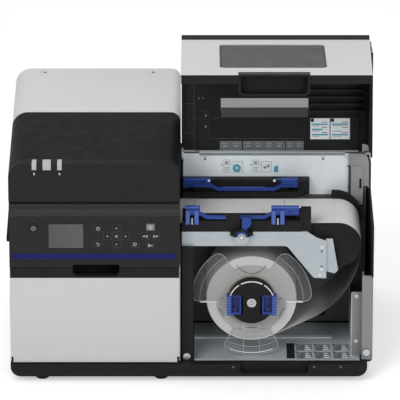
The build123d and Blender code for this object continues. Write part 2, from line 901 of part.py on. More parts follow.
def turn_guide():
    """Guide that turns the web down to the roll: two cheeks, a curved bed and a rear flange."""
    turn_z = web_top - web_turn_radius
    radius = web_turn_radius - web_thickness / 2 - roll_slack
    front = (web_front - 8, web_front - 2)
    rear = (web_front + web_width + 2, web_front + web_width + 6)
    body = back_prism(cheek_outline(radius), front)
    rear_face = Pos(web_turn_x - 3, turn_z + 8) * Circle(rear_cheek_radius)
    rear_face -= Pos(web_turn_x - 54, turn_z) * Rectangle(90, 200)
    body += back_prism(rear_face, rear)
    bed = Circle(radius) - Circle(radius - bed_thickness)
    wedge = outline((0, 0), (radius * 2, -radius * 1.2), (radius * 2, radius * 2), (-2, radius * 2))
    body += back_prism(Pos(web_turn_x, turn_z) * (bed & wedge), (front[0], rear[1]))
    for bar in range(turn_bars):
        angle = bar_start + bar * bar_step
        reach = radius - turn_bar_inset
        spot = Pos(web_turn_x + reach * cos(angle), turn_z + reach * sin(angle))
        body += back_prism(spot * Circle(turn_bar_radius), (front[0], rear[1]))
    return body + back_prism(Pos(web_turn_x, turn_z) * Circle(turn_shaft_radius), (front[0], bay_back))


# Edge guides


def guide_bar_outline(x_blocks, low, top):
    """Blue bar: a low middle between two raised blocks."""
    start, step_in, step_out, end = x_blocks
    face = outline(
        (start, low + bar_rise), (step_in, low + bar_rise), (step_in + 12, low), (step_out - 12, low),
        (step_out, low + bar_rise), (end, low + bar_rise), (end, top), (step_out, top),
        (step_out, low + bar_rise + bar_height), (step_out - 12, low + bar_height),
        (step_in + 12, low + bar_height), (step_in, low + bar_rise + bar_height), (step_in, top),
        (start, top),
    )
    return face


def bar_bearing(y, x):
    return rod_x(y, bar_low + bar_pin_rise, bar_pin_radius + pin_clearance, x)


def rear_guide_body():
    front, back = rear_guide_y
    start = bay_left + 2
    body = block((start, guide_right), (front, back), (web_top + 3, guide_top))
    body -= block((start - 1, guide_right - 3), (front - 1, front + 9), (bar_low - 1.2, guide_top + 1))
    body += block((guide_right - 1, guide_end), (front + 3, back), (web_top + 3, guide_top))
    body -= block((guide_end - 8, guide_end + 1), (front + 2, front + 12), (web_top + 2, guide_top - 18))
    body -= bar_bearing(front + bar_pin_back, (start - 1, guide_end + 1))
    inner_x = (start + guide_cheek, guide_right - guide_cheek - 3)
    spots = rear_bar_spots()
    arm_end = arm_inset + arm_width + arm_room
    for pocket in ((inner_x[0], spots[0] + arm_end), (spots[3] - arm_end, inner_x[1])):
        body -= block(pocket, (front + 8, front + 20), (bar_low - 1.2, guide_top + 1))
    return body


def guide_bar(y_front, axis_depth, x_blocks, low, top):
    bar = back_prism(guide_bar_outline(x_blocks, low, top), (y_front, y_front + bar_front))
    start, step_in, step_out, end = x_blocks
    pin_z = bar_low + bar_pin_rise
    inner, outer = arm_inset, arm_inset + arm_width
    arms = ((start + inner, start + outer), (end - outer, end - inner))
    pins = ((bay_left + 4, arms[0][1]), (arms[1][0], guide_right - 3))
    for arm, pin in zip(arms, pins):
        bar += block(arm, (y_front + bar_front - 1, axis_depth), (pin_z - 2, pin_z + 2))
        bar += rod_x(axis_depth, pin_z, bar_pin_radius + 1.5, arm)
        bar += rod_x(axis_depth, pin_z, bar_pin_radius, pin)
    return bar


def rear_bar_spots():
    return bay_left + 3, bay_left + 49, guide_right - 31, guide_right - 4


def rear_guide_bar():
    depth = rear_guide_y[0] + bar_pin_back
    return guide_bar(rear_guide_y[0] + 2, depth, rear_bar_spots(), bar_low, rear_bar_top)


def front_guide_body():
    front, back = front_guide_y
    start = bay_left + 2
    body = block((start, guide_right), (front + 1, back), (shelf_top, guide_top - 3))
    bed_x = (start + guide_cheek, guide_right - guide_cheek - 3)
    body -= block(bed_x, (back - 9, back + 1), (guide_top - 12, guide_top))
    body += block((guide_right - 1, guide_end), (front + 4, back), (shelf_top, guide_top))
    body -= block(bed_x, (front + 8, front + 20), (bar_low - 1.2, guide_top + 1))
    body -= bar_bearing(front + bar_pin_back, (start - 1, guide_right + 1))
    body -= block((start - 1, guide_right - 3), (front - 1, front + 9), (bar_low - 1.2, guide_top + 1))
    return body


def front_guide_bar():
    front = front_guide_y[0]
    spots = (bay_left + 7, bay_left + 31, guide_right - 50, guide_right - 4)
    bar = guide_bar(front, front + bar_pin_back, spots, bar_low + front_bar_lift, front_bar_top)
    for x in (spots[0], spots[2]):
        fork_x = (x, x + fork_width)
        bar += block(fork_x, (front - fork_proud, front + 0.6), (fork_low, front_bar_top - 6))
        slot_x = (x + fork_width / 2 - fork_slot / 2, x + fork_width / 2 + fork_slot / 2)
        bar -= block(slot_x, (front - fork_proud - 1, front + 0.6), (fork_low - 1, bar_low + 12))
    return bar


def lock_lever():
    """Thumb lever on the shelf's pin: a round hub and a D-shaped tab."""
    y = (shelf_front - lever_depth, shelf_front - lever_gap)
    hub = rod_y(lever_x, lever_z, lever_hub, y)
    stem = block(stem_x, y, stem_z)
    face = outline(
        (tab_x[0], tab_z[0]), (tab_x[1] - tab_slant_x, tab_z[0]), (tab_x[1], tab_z[0] + tab_slant_low),
        (tab_x[1], tab_z[1] - tab_corner_z), (tab_x[1] - tab_corner_x, tab_z[1]), (tab_x[0], tab_z[1]),
    )
    tab = back_prism(face, (y[0] - 1, y[1] - 2))
    return hub + stem + tab - rod_y(lever_x, lever_z, lever_pin_radius + pin_clearance, (y[0] - 2, y[1] + 1))


def shelf_plate():
    """Folded sheet that carries the web path, with a leg down beside the roll, and its link plate."""
    end = shelf_end
    turn = (shelf_turn_x, shelf_low - 1.2)
    leg = (shelf_leg_x, shelf_leg_low + 0.8)
    front = outline(
        (bay_left + 1, shelf_top), (shelf_drop_x, shelf_top), shelf_knee,
        (end, shelf_shoulder), (end, shelf_leg_low), leg, turn, (turn[0] - 7.5, shelf_low),
        (bay_left + 1, shelf_low),
    )
    front = rounded_at(front, shelf_round, turn, leg)
    sheet = back_prism(front, (shelf_front, shelf_front + plate))
    sheet += block((bay_left + 1, shelf_drop_x), (shelf_front, bay_back), (shelf_top - plate, shelf_top))
    for z in leg_hole_z:
        sheet -= rod_y(leg_screw_x, z, leg_hole_radius, (shelf_front - 1, shelf_front + plate + 1))
    corners = ((link_x[4], link_low + 6), (link_x[3], link_low))
    link = outline((link_x[0], link_top), (link_x[2], link_top), *corners, (link_x[1], link_foot))
    link = rounded_at(link, 4, *corners)
    sheet += back_prism(link, (shelf_front + link_back, shelf_front + link_back + plate))
    step_z = (link_foot, link_step_top)
    return sheet + block((end - plate, end), (shelf_front, shelf_front + link_back + plate), step_z)


# Roll bay


def bay_floor():
    """Sheet-metal tray with a stiffening bead and a folded jamb at the right."""
    x = (floor_left, floor_right)
    y = (floor_front, bay_back)
    tray = block(x, y, (floor_z - plate, floor_z))
    tray += block(x, (y[0], y[0] + plate), (floor_z - plate, floor_z + 3))
    tray += block((x[0] + 18, x[1] - 45), (118, 126), (floor_z - 0.5, floor_z + 2))
    fold = x[1] - 14
    edge = lower_jamb_left - 0.1
    jamb = outline(
        (fold, floor_z - plate), (x[1], floor_z - plate), (x[1], base_top + 1), (edge, base_top + 1),
        (edge, floor_jamb_top), (fold, floor_jamb_top),
    )
    tray += back_prism(jamb, (floor_jamb_y, floor_jamb_y + plate))
    return tray + block((fold, fold + plate), (floor_jamb_y, bay_back), (floor_z - plate, floor_z + 70))


def bay_back_wall():
    wall = block((bay_left + 1, cheek_x[1]), (bay_back, bay_back + plate), (base_top, back_wall_top))
    hole = Pos(right - 92, base_top + 17) * SlotOverall(34, 15)
    wall -= back_prism(hole, (bay_back - 1, bay_back + plate + 1))
    return wall - rod_y(roll_x, roll_z, shaft_radius + pin_clearance, (bay_back - 1, bay_back + plate + 1))


def main_plate():
    """Light plate behind the web, folded back along its top."""
    y = (bay_back - plate, bay_back)
    top = axis_z + 2
    ear = (bay_left + skin, bay_left + skin + plate)
    sheet = block((ear[0], upper_jamb_left + 4), y, (main_plate_low, top))
    flange = (bay_left + 30, right - 44)
    sheet += block(flange, (y[0], y[0] + plate_flange), (top, top + plate))
    for x in (flange[0] + 39, flange[1] - 38):
        notch_y = (y[0] + plate_flange - 4, y[0] + plate_flange + 1)
        sheet -= block((x, x + 4), notch_y, (top - 1, top + plate + 1))
    for x in plate_screw_x:
        sheet -= rod_y(x, plate_screw_z - 5.5, 1.8, (y[0] - 1, y[1] + 1))
    ear_z = (back_wall_top + 1, axis_z + 4)
    return sheet + block(ear, (y[0], axis_y + 4), ear_z)


def upper_jamb():
    y = jamb_y
    x = (upper_jamb_left, right - 4.5)
    low, top = main_plate_low, axis_z + 3
    face = outline((x[0], low), (x[1], low), (x[1], top), (x[0], top))
    body = back_prism(rounded_at(face, 14, (x[1], top)), y)
    raised = plate_outline((x[0] + 1.5, x[0] + 21), (low + 2, low + 37), 1.5)
    body += back_prism(raised, (y[0] - 1.5, y[0] + 1))
    slot = plate_outline((x[0] + 13, x[0] + 18), (low + 1, low + 17), 1)
    body -= back_prism(slot, (y[0] - 2, y[0] + 2))
    cheek = outline(
        (y[0], back_wall_top), (axis_y + 4, back_wall_top), (axis_y + 4, top), (y[0], top),
    )
    return body + across_prism(cheek, cheek_x)


def lower_jamb():
    z = (base_top, lower_jamb_top)
    body = block((lower_jamb_left, right), (jamb_front, jamb_front + skin), z)
    return body + block((lower_jamb_left, lower_jamb_left + skin), (jamb_front, jamb_front + 20), z)


def left_jamb():
    x = (bay_left + 1, bay_left + 20)
    body = block(x, (jamb_front - 4, jamb_front + 14), (base_top, shelf_low))
    inner_x = (x[0] + skin, x[1] - skin)
    return body - block(inner_x, (jamb_front - 1, jamb_front + 15), (base_top + skin, shelf_low + 1))


def right_side_wall():
    face = outline(
        (jamb_front + skin, base_top), (jamb_front + skin, lower_jamb_top + 1),
        (side_front, lower_jamb_top + 1), (side_front, cover_side_low - seam),
        (bay_back, cover_side_low - seam), (bay_back, base_top),
    )
    return across_prism(rounded_at(face, 5, (side_front, cover_side_low - seam)), (right - skin, right))


def door_stops():
    front = rim_depth + seat_gap
    left_stop = rod_y(bay_left + 9, base_top + 7, stop_radius, (front, jamb_front - 4))
    right_stop = rod_y(right - 10.4, base_top + 14, stop_radius, (front, jamb_front))
    return [left_stop, right_stop]


def right_rear_shell():
    """Fixed rear housing of the roll bay, with a gutter behind the cover's hinge."""
    def profile(inset):
        low = base_top - (inset > 0)
        return outline(
            (bay_back + plate + inset * 1.0, low), (bay_back + plate + inset, rear_chamfer_low - inset),
            (rear_top_front + inset, rear_chamfer_low - inset), (rear_top_front + inset, cover_top - inset),
            (rear_top_back, cover_top - inset), (body_depth - inset, rear_chamfer_low - inset),
            (body_depth - inset, low),
        )
    x = (bay_left, right)
    outer = across_prism(profile(0), x)
    plan = outline((x[0], 0), (x[1], 0), (x[1], body_depth), (x[0], body_depth))
    outer &= up_prism(rounded_at(plan, 22, (x[1], body_depth)), (0, cover_top + 1))
    inner = across_prism(profile(skin), (x[0] + skin, x[1] - skin))
    corner = (x[1] - skin, body_depth - skin)
    inner_plan = outline((x[0], 0), (corner[0], 0), corner, (x[0], corner[1]))
    inner &= up_prism(rounded_at(inner_plan, 22 - skin, corner), (0, cover_top + 1))
    shell = outer - inner
    window = (base_top - 1, rear_chamfer_low - skin - 2)
    shell -= block((x[0] + skin, x[1] - skin), (bay_back, bay_back + plate + skin + 1), window)
    for row in range(vent_rows):
        z = vent_low + row * vent_pitch
        shell -= block(bay_vent_x, (body_depth - skin - 1, body_depth + 1), (z, z + vent_height))
    return shell


def hinge_pins():
    """Fixed pins that the roll cover turns on."""
    left_pin = rod_x(axis_y, axis_z, hinge_pin_radius, (bay_left, bay_left + skin))
    right_pin = rod_x(axis_y, axis_z, hinge_pin_radius, (cheek_x[1], right))
    return [left_pin, right_pin]


def bay_screws():
    plate_front = bay_back - plate
    spots = (
        (plate_screw_x[0], plate_screw_z, plate_front), (plate_screw_x[1], plate_screw_z, plate_front),
        (corner_screw_x, plate_screw_z, plate_front),
        (leg_screw_x, shelf_leg_low + 56, shelf_front),
        (leg_screw_x, shelf_leg_low + 16.6, shelf_front),
        (shelf_end - 10.5, shelf_leg_low + 6, shelf_front),
        (jamb_screw_x, floor_jamb_top - 7, floor_jamb_y), (jamb_screw_x, base_top + 25, floor_jamb_y),
    )
    heads = [screw_head(x, y, z) for x, z, y in spots]
    pin = rod_y(lever_x, lever_z, lever_pin_radius, (shelf_front - lever_depth - 0.5, shelf_front))
    washer_y = (shelf_front - lever_depth - 2.5, shelf_front - lever_depth - 0.4)
    pin += rod_y(lever_x, lever_z, lever_washer_radius, washer_y)
    return heads + [pin]


# Roll cover, drawn shut and then swung open


def swing_open(shape):
    hinge = Axis((0, axis_y, axis_z), (1, 0, 0))
    if isinstance(shape, list):
        return [piece.rotate(hinge, -open_angle) for piece in shape]
    return shape.rotate(hinge, -open_angle)


def cover_front_outline(inset):
    high = visor_low
    return outline(
        (bay_left + inset, cover_low + inset), (front_right_low - inset, cover_low + inset),
        (front_right_high - inset, high), (bay_left + inset, high),
    )


def cover_shell():
    x = (bay_left, right)
    face = outline(
        (x[0], rim_low - strip_lap), (x[0], cover_top), (x[1], cover_top), (x[1], cover_side_low),
        (x[1] - skin, cover_side_low), (x[1] - skin, cover_top - skin), (x[0] + skin, cover_top - skin),
        (x[0] + skin, rim_low - strip_lap),
    )
    face = rounded_at(face, cover_round, (x[1], cover_top))
    face = rounded_at(face, cover_round - skin, (x[1] - skin, cover_top - skin))
    shell = back_prism(face, (0, axis_y + cover_rear_reach))
    shell -= block((x[1] - skin - 1, x[1] + 1), (-1, 10), (cover_side_low - 1, rim_low))
    rear_gap = (bay_back + plate - seam, axis_y + hinge_ear_radius)
    shell -= block((x[1] - skin - 1, x[1] + 1), rear_gap, (cover_side_low - 1, rear_chamfer_low + seam))
    for side in ((x[0], x[0] + skin), (x[1] - skin, x[1])):
        shell += rod_x(axis_y, axis_z, hinge_ear_radius, side)
        shell -= rod_x(axis_y, axis_z, hinge_pin_radius + pin_clearance, (side[0] - 8, side[1] + 1))
    front = back_prism(cover_front_outline(0), (0, skin))
    front -= back_prism(plate_outline(window_x, window_z, window_round), (-1, skin + 1))
    front -= block(handle_x, (-1, skin + 1), (cover_low - 1, cover_low + handle_lap))
    shell += front
    shell -= block((x[0] - 1, x[1] + 1), (-1, skin), (visor_low, cover_top - skin))
    return shell - block(top_window_x, top_window_y, (cover_top - skin - 1, cover_top + 1))


def cover_corner(inset):
    """Section of the cover's top with its rounded right corner."""
    x = (bay_left + inset, right - inset)
    high = cover_top - inset
    face = outline((x[0], cover_side_low), (x[1], cover_side_low), (x[1], high), (x[0], high))
    return rounded_at(face, cover_round - inset, (x[1], high))


def cover_liner():
    """Black inner moulding: front frame, top plate with louvres, and the visor strip."""
    high = cover_top - skin
    outer = back_prism(cover_front_outline(frame_inset), (skin, rim_depth))
    pocket = back_prism(cover_front_outline(frame_wall), (skin + frame_back, rim_depth + 1))
    window_rim = back_prism(plate_outline(
        (window_x[0] - window_frame, window_x[1] + window_frame),
        (window_z[0] - window_frame, window_z[1] + window_frame), window_round + window_frame,
    ), (skin, rim_depth))
    frame = outer - pocket + window_rim
    rib_y = (skin, rim_depth - 2)
    for z in liner_rail_z:
        frame += block((bay_left + frame_wall, front_right_low - frame_wall), rib_y, (z, z + liner_rib))
    for x in liner_post_x:
        frame += block((x, x + liner_rib), rib_y, (cover_low + 2, visor_low))
    hole = plate_outline(
        (window_x[0] + window_ledge, window_x[1] - window_ledge),
        (window_z[0] + window_ledge, window_z[1] - window_ledge), window_round - window_ledge,
    )
    frame -= back_prism(hole, (skin - 1, rim_depth + 1))
    frame -= block(handle_x, (skin - 1, rim_depth + 1), (cover_low - 1, cover_low + handle_lap))
    frame -= block((bay_left, bay_left + skin), (skin, rim_depth + 1), (rim_low - strip_lap, rim_low + 1))
    inner = high - liner_thickness
    top = block((bay_left + skin, liner_top_right), (skin, axis_y - 4), (inner, high))
    side = back_prism(cover_corner(skin) - cover_corner(skin + liner_side), (skin, jamb_y[0] - 3))
    top += side - block((left, liner_top_right - 1), (0, axis_y), (cover_side_low - 1, high + 1))
    louvre_x = (louvre_left, liner_top_right + 6)
    for row in range(louvres):
        y = louvre_front + row * louvre_pitch
        top += block(louvre_x, (y, y + louvre_width), (inner - louvre_drop, high))
    top += block(bracket_x, bracket_y, (inner - bracket_drop, high))
    top += block((louvre_left - 2, liner_top_right), plate_step_y, (inner - plate_step, high))
    top &= back_prism(cover_corner(skin), (0, axis_y))
    rim = block((bay_left + skin, front_right_high), (skin, rim_depth), (visor_low, high))
    rim &= back_prism(cover_corner(skin), (0, rim_depth + 1))
    visor = outline(
        (0, visor_low), (-visor_reach, cover_top), (0, cover_top), (0, high), (skin, high),
        (skin, visor_low),
    )
    strip = across_prism(visor, (bay_left, front_right_high))
    top += strip & back_prism(cover_corner(0), (-skin - visor_reach, rim_depth))
    liner = frame + rim + top
    hole = block(
        (top_window_x[0] + top_window_ledge, top_window_x[1] - top_window_ledge),
        (top_window_y[0] + top_window_ledge, top_window_y[1] - top_window_ledge),
        (high - liner_thickness - 1, high + 1),
    )
    return liner - hole


def cover_windows():
    front = back_prism(plate_outline(window_x, window_z, window_round), (skin - window_pane, skin))
    top = block(top_window_x, top_window_y, (cover_top - skin, cover_top - 0.3))
    return [front, top]


def cover_handle():
    body = block(handle_x, (-handle_proud, handle_reach), (cover_low - handle_proud, cover_low + handle_lap))
    body = fillet(body.edges().filter_by(Axis.X).sort_by(Axis.Y)[:2], 1)
    body = fillet(body.edges().filter_by(Axis.Z).sort_by(Axis.Y)[-2:], handle_round)
    inner_x = (handle_x[0] + handle_wall, handle_x[1] - handle_wall)
    pocket_z = (cover_low - handle_proud - 1, cover_low + handle_lap - 3)
    pocket = block(inner_x, (2, handle_reach - 3), pocket_z)
    return body - fillet(pocket.edges().filter_by(Axis.Z).sort_by(Axis.Y)[-2:], handle_round - 3)


# Build every part


parts = {
    "base_tray": base_tray(), "feet": feet(), "left_casing": left_casing(),
    "control_panel": control_panel(), "lcd_screen": lcd_screen(), "blue_stripe": blue_stripe(),
    "hood_front_cover": hood_front_cover(), "status_windows": status_windows(),
    "exit_guide": exit_guide(), "ink_door": ink_door(), "ink_door_trim": ink_door_trim(),
    "ink_bay_frame": ink_bay_frame(), "ink_cartridges": ink_cartridges(),
    "maintenance_box": maintenance_box(), "print_frame": print_frame(),
    "print_carriage": print_carriage(), "feed_roller": feed_roller(), "power_unit": power_unit(),
    "label_web": label_web(), "label_roll": label_roll(), "roll_core": roll_core(),
    "roll_flange": roll_flange(), "roll_spindle": roll_spindle(),
    "hub_clip_left": hub_clip(-1), "hub_clip_right": hub_clip(1), "turn_guide": turn_guide(),
    "rear_guide_body": rear_guide_body(), "rear_guide_bar": rear_guide_bar(),
    "front_guide_body": front_guide_body(), "front_guide_bar": front_guide_bar(),
    "lock_lever": lock_lever(), "shelf_plate": shelf_plate(), "bay_floor": bay_floor(),
    "bay_back_wall": bay_back_wall(), "main_plate": main_plate(), "upper_jamb": upper_jamb(),
    "lower_jamb": lower_jamb(), "left_jamb": left_jamb(), "right_side_wall": right_side_wall(),
    "door_stops": door_stops(), "right_rear_shell": right_rear_shell(),
    "hinge_pins": hinge_pins(), "bay_screws": bay_screws(),
    "cover_shell": swing_open(cover_shell()), "cover_liner": swing_open(cover_liner()),
    "cover_windows": swing_open(cover_windows()), "cover_handle": swing_open(cover_handle()),
}
for name, place in key_places().items():
    parts[name] = key_cap(*place)

solids = {
    name: Compound(children=[
        solid for piece in (shape if isinstance(shape, list) else [shape]) for solid in piece.solids()
    ])
    for name, shape in parts.items()
}
box = Compound(children=[solid for shape in solids.values() for solid in shape.solids()]).bounding_box()
origin = Vector((box.min.X + box.max.X) / 2, (box.min.Y + box.max.Y) / 2, box.min.Z)
print("origin", origin.X, origin.Y, origin.Z, "size", box.size)
for name, shape in solids.items():
    export_step(shape.moved(Location(-origin)), "parts/" + name + ".step")
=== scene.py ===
from math import asin, cos, pi, radians, sin, sqrt

import bmesh
import bpy
from mathutils import Matrix, Vector


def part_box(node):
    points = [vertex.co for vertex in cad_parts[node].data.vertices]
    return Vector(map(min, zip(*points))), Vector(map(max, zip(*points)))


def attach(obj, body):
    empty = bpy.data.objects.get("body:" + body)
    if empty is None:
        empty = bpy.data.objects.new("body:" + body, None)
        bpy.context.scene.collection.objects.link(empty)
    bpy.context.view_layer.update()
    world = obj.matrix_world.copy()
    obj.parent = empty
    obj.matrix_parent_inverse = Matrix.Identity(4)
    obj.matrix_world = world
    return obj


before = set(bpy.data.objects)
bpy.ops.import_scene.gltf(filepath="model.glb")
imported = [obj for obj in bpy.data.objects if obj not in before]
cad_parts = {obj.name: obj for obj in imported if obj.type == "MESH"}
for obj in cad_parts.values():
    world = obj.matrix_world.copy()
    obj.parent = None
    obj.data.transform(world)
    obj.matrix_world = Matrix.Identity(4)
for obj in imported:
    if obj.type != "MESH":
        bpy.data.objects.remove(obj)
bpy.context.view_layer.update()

# Places below are in mm in the part's own modelling frame: X from the middle of the body,
# Y from the front face back, Z from the floor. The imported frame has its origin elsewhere.
MM = 0.001
BASE_CORNER = Vector((-302, 0, 10.4))
SHIFT = Vector(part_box("base_tray")[0]) / MM - BASE_CORNER

# The roll cover's hinge line and how far it stands open, the roll's axis, and the middle of the
# web's loop.
HINGE_Y, HINGE_Z = 194.0, 336.0
OPEN_ANGLE = -98.2
ROLL_X, ROLL_Z = 100.0, 132.0
LOOP_X, LOOP_Z = 133.8, 228.6


def place(point, in_cover=False):
    """Modelling millimetres to scene metres; cover pieces are given in the shut cover's place."""
    v = Vector(point)
    if in_cover:
        pivot = Vector((0, HINGE_Y, HINGE_Z))
        v = pivot + Matrix.Rotation(radians(OPEN_ANGLE), 3, "X") @ (v - pivot)
    return (v + SHIFT) * MM


def srgb(red, green, blue):
    """Screen colour from 0 to 255 to a shader's linear colour."""
    out = []
    for value in (red, green, blue):
        c = value / 255
        out.append(c / 12.92 if c <= 0.04045 else ((c + 0.055) / 1.055) ** 2.4)
    return (*out, 1.0)


# Materials

# Inputs and outputs of a mix node share their names, so they are picked by number.
MIX_FIRST, MIX_SECOND, MIX_COLOUR = 6, 7, 2
MIX_LOW, MIX_HIGH, MIX_NUMBER = 2, 3, 0
NUMBER, VECTOR = "ShaderNodeMath", "ShaderNodeVectorMath"
# Most of a noise pattern lies between these two values.
NOISE_SPREAD = (0.3, 0.7)
# Depths between which a plastic changes from the lighter colour of its front face to its own darker one on
# top: painted light.
FRONT_NEAR, FRONT_FAR = 4, 22
# Places across where the web's inner side starts to darken with painted shade, where that painted shade is
# darkest, and where the labels' painted highlight is brightest.
WEB_START, WEB_TURN, WEB_HIGHLIGHT = 120, 236, 276
# A face of the web seen this nearly on edge still counts as its inner side.
EDGE_ON = -0.002
# The display's left and right sides.
SCREEN_X = (-236, -178)


def grey(level):
    return (level, level, level, 1)


def shade(colour, gain):
    return tuple(min(1.0, c * gain) for c in colour[:3]) + (1.0,)


class Nodes:
    """Short hand for building one node tree."""

    def __init__(self, name):
        self.material = bpy.data.materials.new(name)
        self.material.use_nodes = True
        self.tree = self.material.node_tree
        self.shader = self.tree.nodes["Principled BSDF"]
        self.coords = self.add("ShaderNodeTexCoord").outputs["Object"]

    def add(self, kind, **values):
        node = self.tree.nodes.new(kind)
        for key, value in values.items():
            setattr(node, key, value)
        return node

    def link(self, out, into):
        self.tree.links.new(out, into)

    def feed(self, value, into):
        """Links a socket, or sets a plain value."""
        if isinstance(value, bpy.types.NodeSocket):
            self.link(value, into)
        else:
            into.default_value = value

    def look(self, name, value):
        """Feeds one input of the surface shader."""
        self.feed(value, self.shader.inputs[name])

    def noise(self, scale, detail, stretch=None):
        node = self.add("ShaderNodeTexNoise")
        node.inputs["Scale"].default_value = scale
        node.inputs["Detail"].default_value = detail
        source = self.coords
        if stretch:
            mapping = self.add("ShaderNodeMapping")
            mapping.inputs["Scale"].default_value = stretch
            self.link(source, mapping.inputs["Vector"])
            source = mapping.outputs["Vector"]
        self.link(source, node.inputs["Vector"])
        return node.outputs["Fac"]

    def ramp(self, factor, stops):
        node = self.add("ShaderNodeValToRGB")
        elements = node.color_ramp.elements
        while len(elements) < len(stops):
            elements.new(0.5)
        for element, (position, colour) in zip(elements, stops):
            element.position = position
            element.color = colour
        self.link(factor, node.inputs["Fac"])
        return node.outputs["Color"]

    def tone(self, pattern, colour, down, up, spread=NOISE_SPREAD):
        """A colour that drifts with a pattern between two gains."""
        return self.ramp(pattern, [(spread[0], shade(colour, down)), (spread[1], shade(colour, up))])

    def rough(self, pattern, smooth, dull):
        """Roughness that follows a pattern between two levels."""
        self.look("Roughness", self.ramp(pattern, list(zip(NOISE_SPREAD, (grey(smooth), grey(dull))))))

    def bump(self, height, strength, distance):
        node = self.add("ShaderNodeBump")
        node.inputs["Strength"].default_value = strength
        node.inputs["Distance"].default_value = distance
        self.link(height, node.inputs["Height"])
        self.look("Normal", node.outputs["Normal"])

    def mix(self, factor, first, second, **values):
        node = self.add("ShaderNodeMix", data_type="RGBA", **values)
        self.feed(factor, node.inputs["Factor"])
        self.feed(first, node.inputs[MIX_FIRST])
        self.feed(second, node.inputs[MIX_SECOND])
        return node.outputs[MIX_COLOUR]

    def maths(self, kind, operation, *values, result=0):
        """One step of arithmetic on numbers or vectors."""
        node = self.add(kind, operation=operation)
        for value, socket in zip(values, node.inputs):
            self.feed(value, socket)
        return node.outputs[result]

    def split(self, vector):
        """A vector's X, Y and Z."""
        node = self.add("ShaderNodeSeparateXYZ")
        self.link(vector, node.inputs[0])
        return node.outputs

    def between(self, value, low, high):
        """Where a value lies from low to high, as 0 to 1."""
        node = self.add("ShaderNodeMapRange")
        node.inputs["From Min"].default_value = low
        node.inputs["From Max"].default_value = high
        self.link(value, node.inputs["Value"])
        return node.outputs["Result"]

    def across(self, left, right):
        """Place across between two places in modelling millimetres, as 0 to 1."""
        return self.between(self.split(self.coords)["X"], place((left, 0, 0)).x, place((right, 0, 0)).x)


def moulded(name, colour, roughness=0.5, grain=900, depth=0.25, drift=0.06, edge=1.25, shine=0.5, front=None):
    """Moulded plastic: fine spark-erosion grain, slow drift of tone, paler edges that are partly wear and
    partly a painted highlight, and where a front colour is given a lighter front face than top, which is
    painted light.
    """
    n = Nodes(name)
    surface = n.tone(n.noise(scale=9, detail=3), colour, 1 - drift, 1 + drift)
    # Paler sharp edges: partly wear, partly a painted highlight.
    worn_and_highlit = n.ramp(n.add("ShaderNodeNewGeometry").outputs["Pointiness"], [(0.5, grey(0)), (0.6, grey(1))])
    surface = n.mix(worn_and_highlit, surface, shade(colour, edge))
    # A lighter colour on the front face than on the top: painted light.
    if front:
        limits = [place((0, y, 0)).y for y in (FRONT_NEAR, FRONT_FAR)]
        surface = n.mix(n.between(n.split(n.coords)["Y"], *limits), front, surface)
    n.look("Base Color", surface)
    n.rough(n.noise(scale=60, detail=4), roughness - 0.06, roughness + 0.07)
    n.look("Specular IOR Level", shine)
    n.bump(n.noise(scale=grain, detail=2), strength=depth, distance=0.0002)
    return n.material


def sheet_metal(name, colour, roughness, metallic, drift):
    """Plated sheet: fine rolling streaks, faint mottling and a soft sheen."""
    n = Nodes(name)
    streaks = n.noise(scale=260, detail=3, stretch=(1.0, 1.0, 0.06))
    tone = n.tone(n.noise(scale=24, detail=4), colour, 1 - drift, 1 + drift, spread=(0.25, 0.75))
    lines = n.ramp(streaks, [(0.35, (0.97, 0.97, 0.975, 1)), (0.65, grey(1))])
    n.look("Base Color", n.mix(1.0, tone, lines, blend_type="MULTIPLY"))
    n.look("Metallic", metallic)
    n.rough(streaks, roughness - 0.08, roughness + 0.1)
    n.bump(streaks, strength=0.08, distance=0.0001)
    return n.material


def coated_face(n):
    """The soft sheen and faint fibre that every paper has."""
    n.rough(n.noise(scale=400, detail=3), 0.5, 0.62)
    n.bump(n.noise(scale=700, detail=4), strength=0.12, distance=0.0001)


def paper(name, colour, drift=0.02):
    """Coated label paper."""
    n = Nodes(name)
    n.look("Base Color", n.tone(n.noise(scale=35, detail=5), colour, 1 - drift, 1 + drift))
    coated_face(n)
    return n.material


def web_paper(name, outer, dark, pale):
    """Label web: white labels on the outer side with a painted highlight towards the right, and an inner side
    that goes from pale to grey towards the turn guide: painted shade.
    """
    n = Nodes(name)
    position = n.maths(VECTOR, "SUBTRACT", place((LOOP_X, 0, LOOP_Z)), n.coords)
    flat = n.maths(VECTOR, "MULTIPLY", position, (1, 0, 1))
    normal = n.add("ShaderNodeTexCoord").outputs["Normal"]
    facing = n.maths(VECTOR, "DOT_PRODUCT", flat, normal, result="Value")
    inner = n.maths(NUMBER, "GREATER_THAN", facing, EDGE_ON)
    # Painted shade: the web's inner side darkens across the web towards the turn guide.
    shaded_backing = n.ramp(n.across(WEB_START, WEB_TURN), [(0.0, pale), (0.5, shade(pale, 0.6)), (0.95, dark)])
    fibre = n.tone(n.noise(scale=35, detail=5), outer, 0.98, 1.02)
    # Painted highlight: the labels turn whiter towards the right end of the web's curve.
    labels = n.mix(n.across(WEB_TURN, WEB_HIGHLIGHT), fibre, srgb(253, 253, 252))
    n.look("Base Color", n.mix(inner, labels, shaded_backing))
    n.look("Specular IOR Level", 0.25)
    coated_face(n)
    return n.material


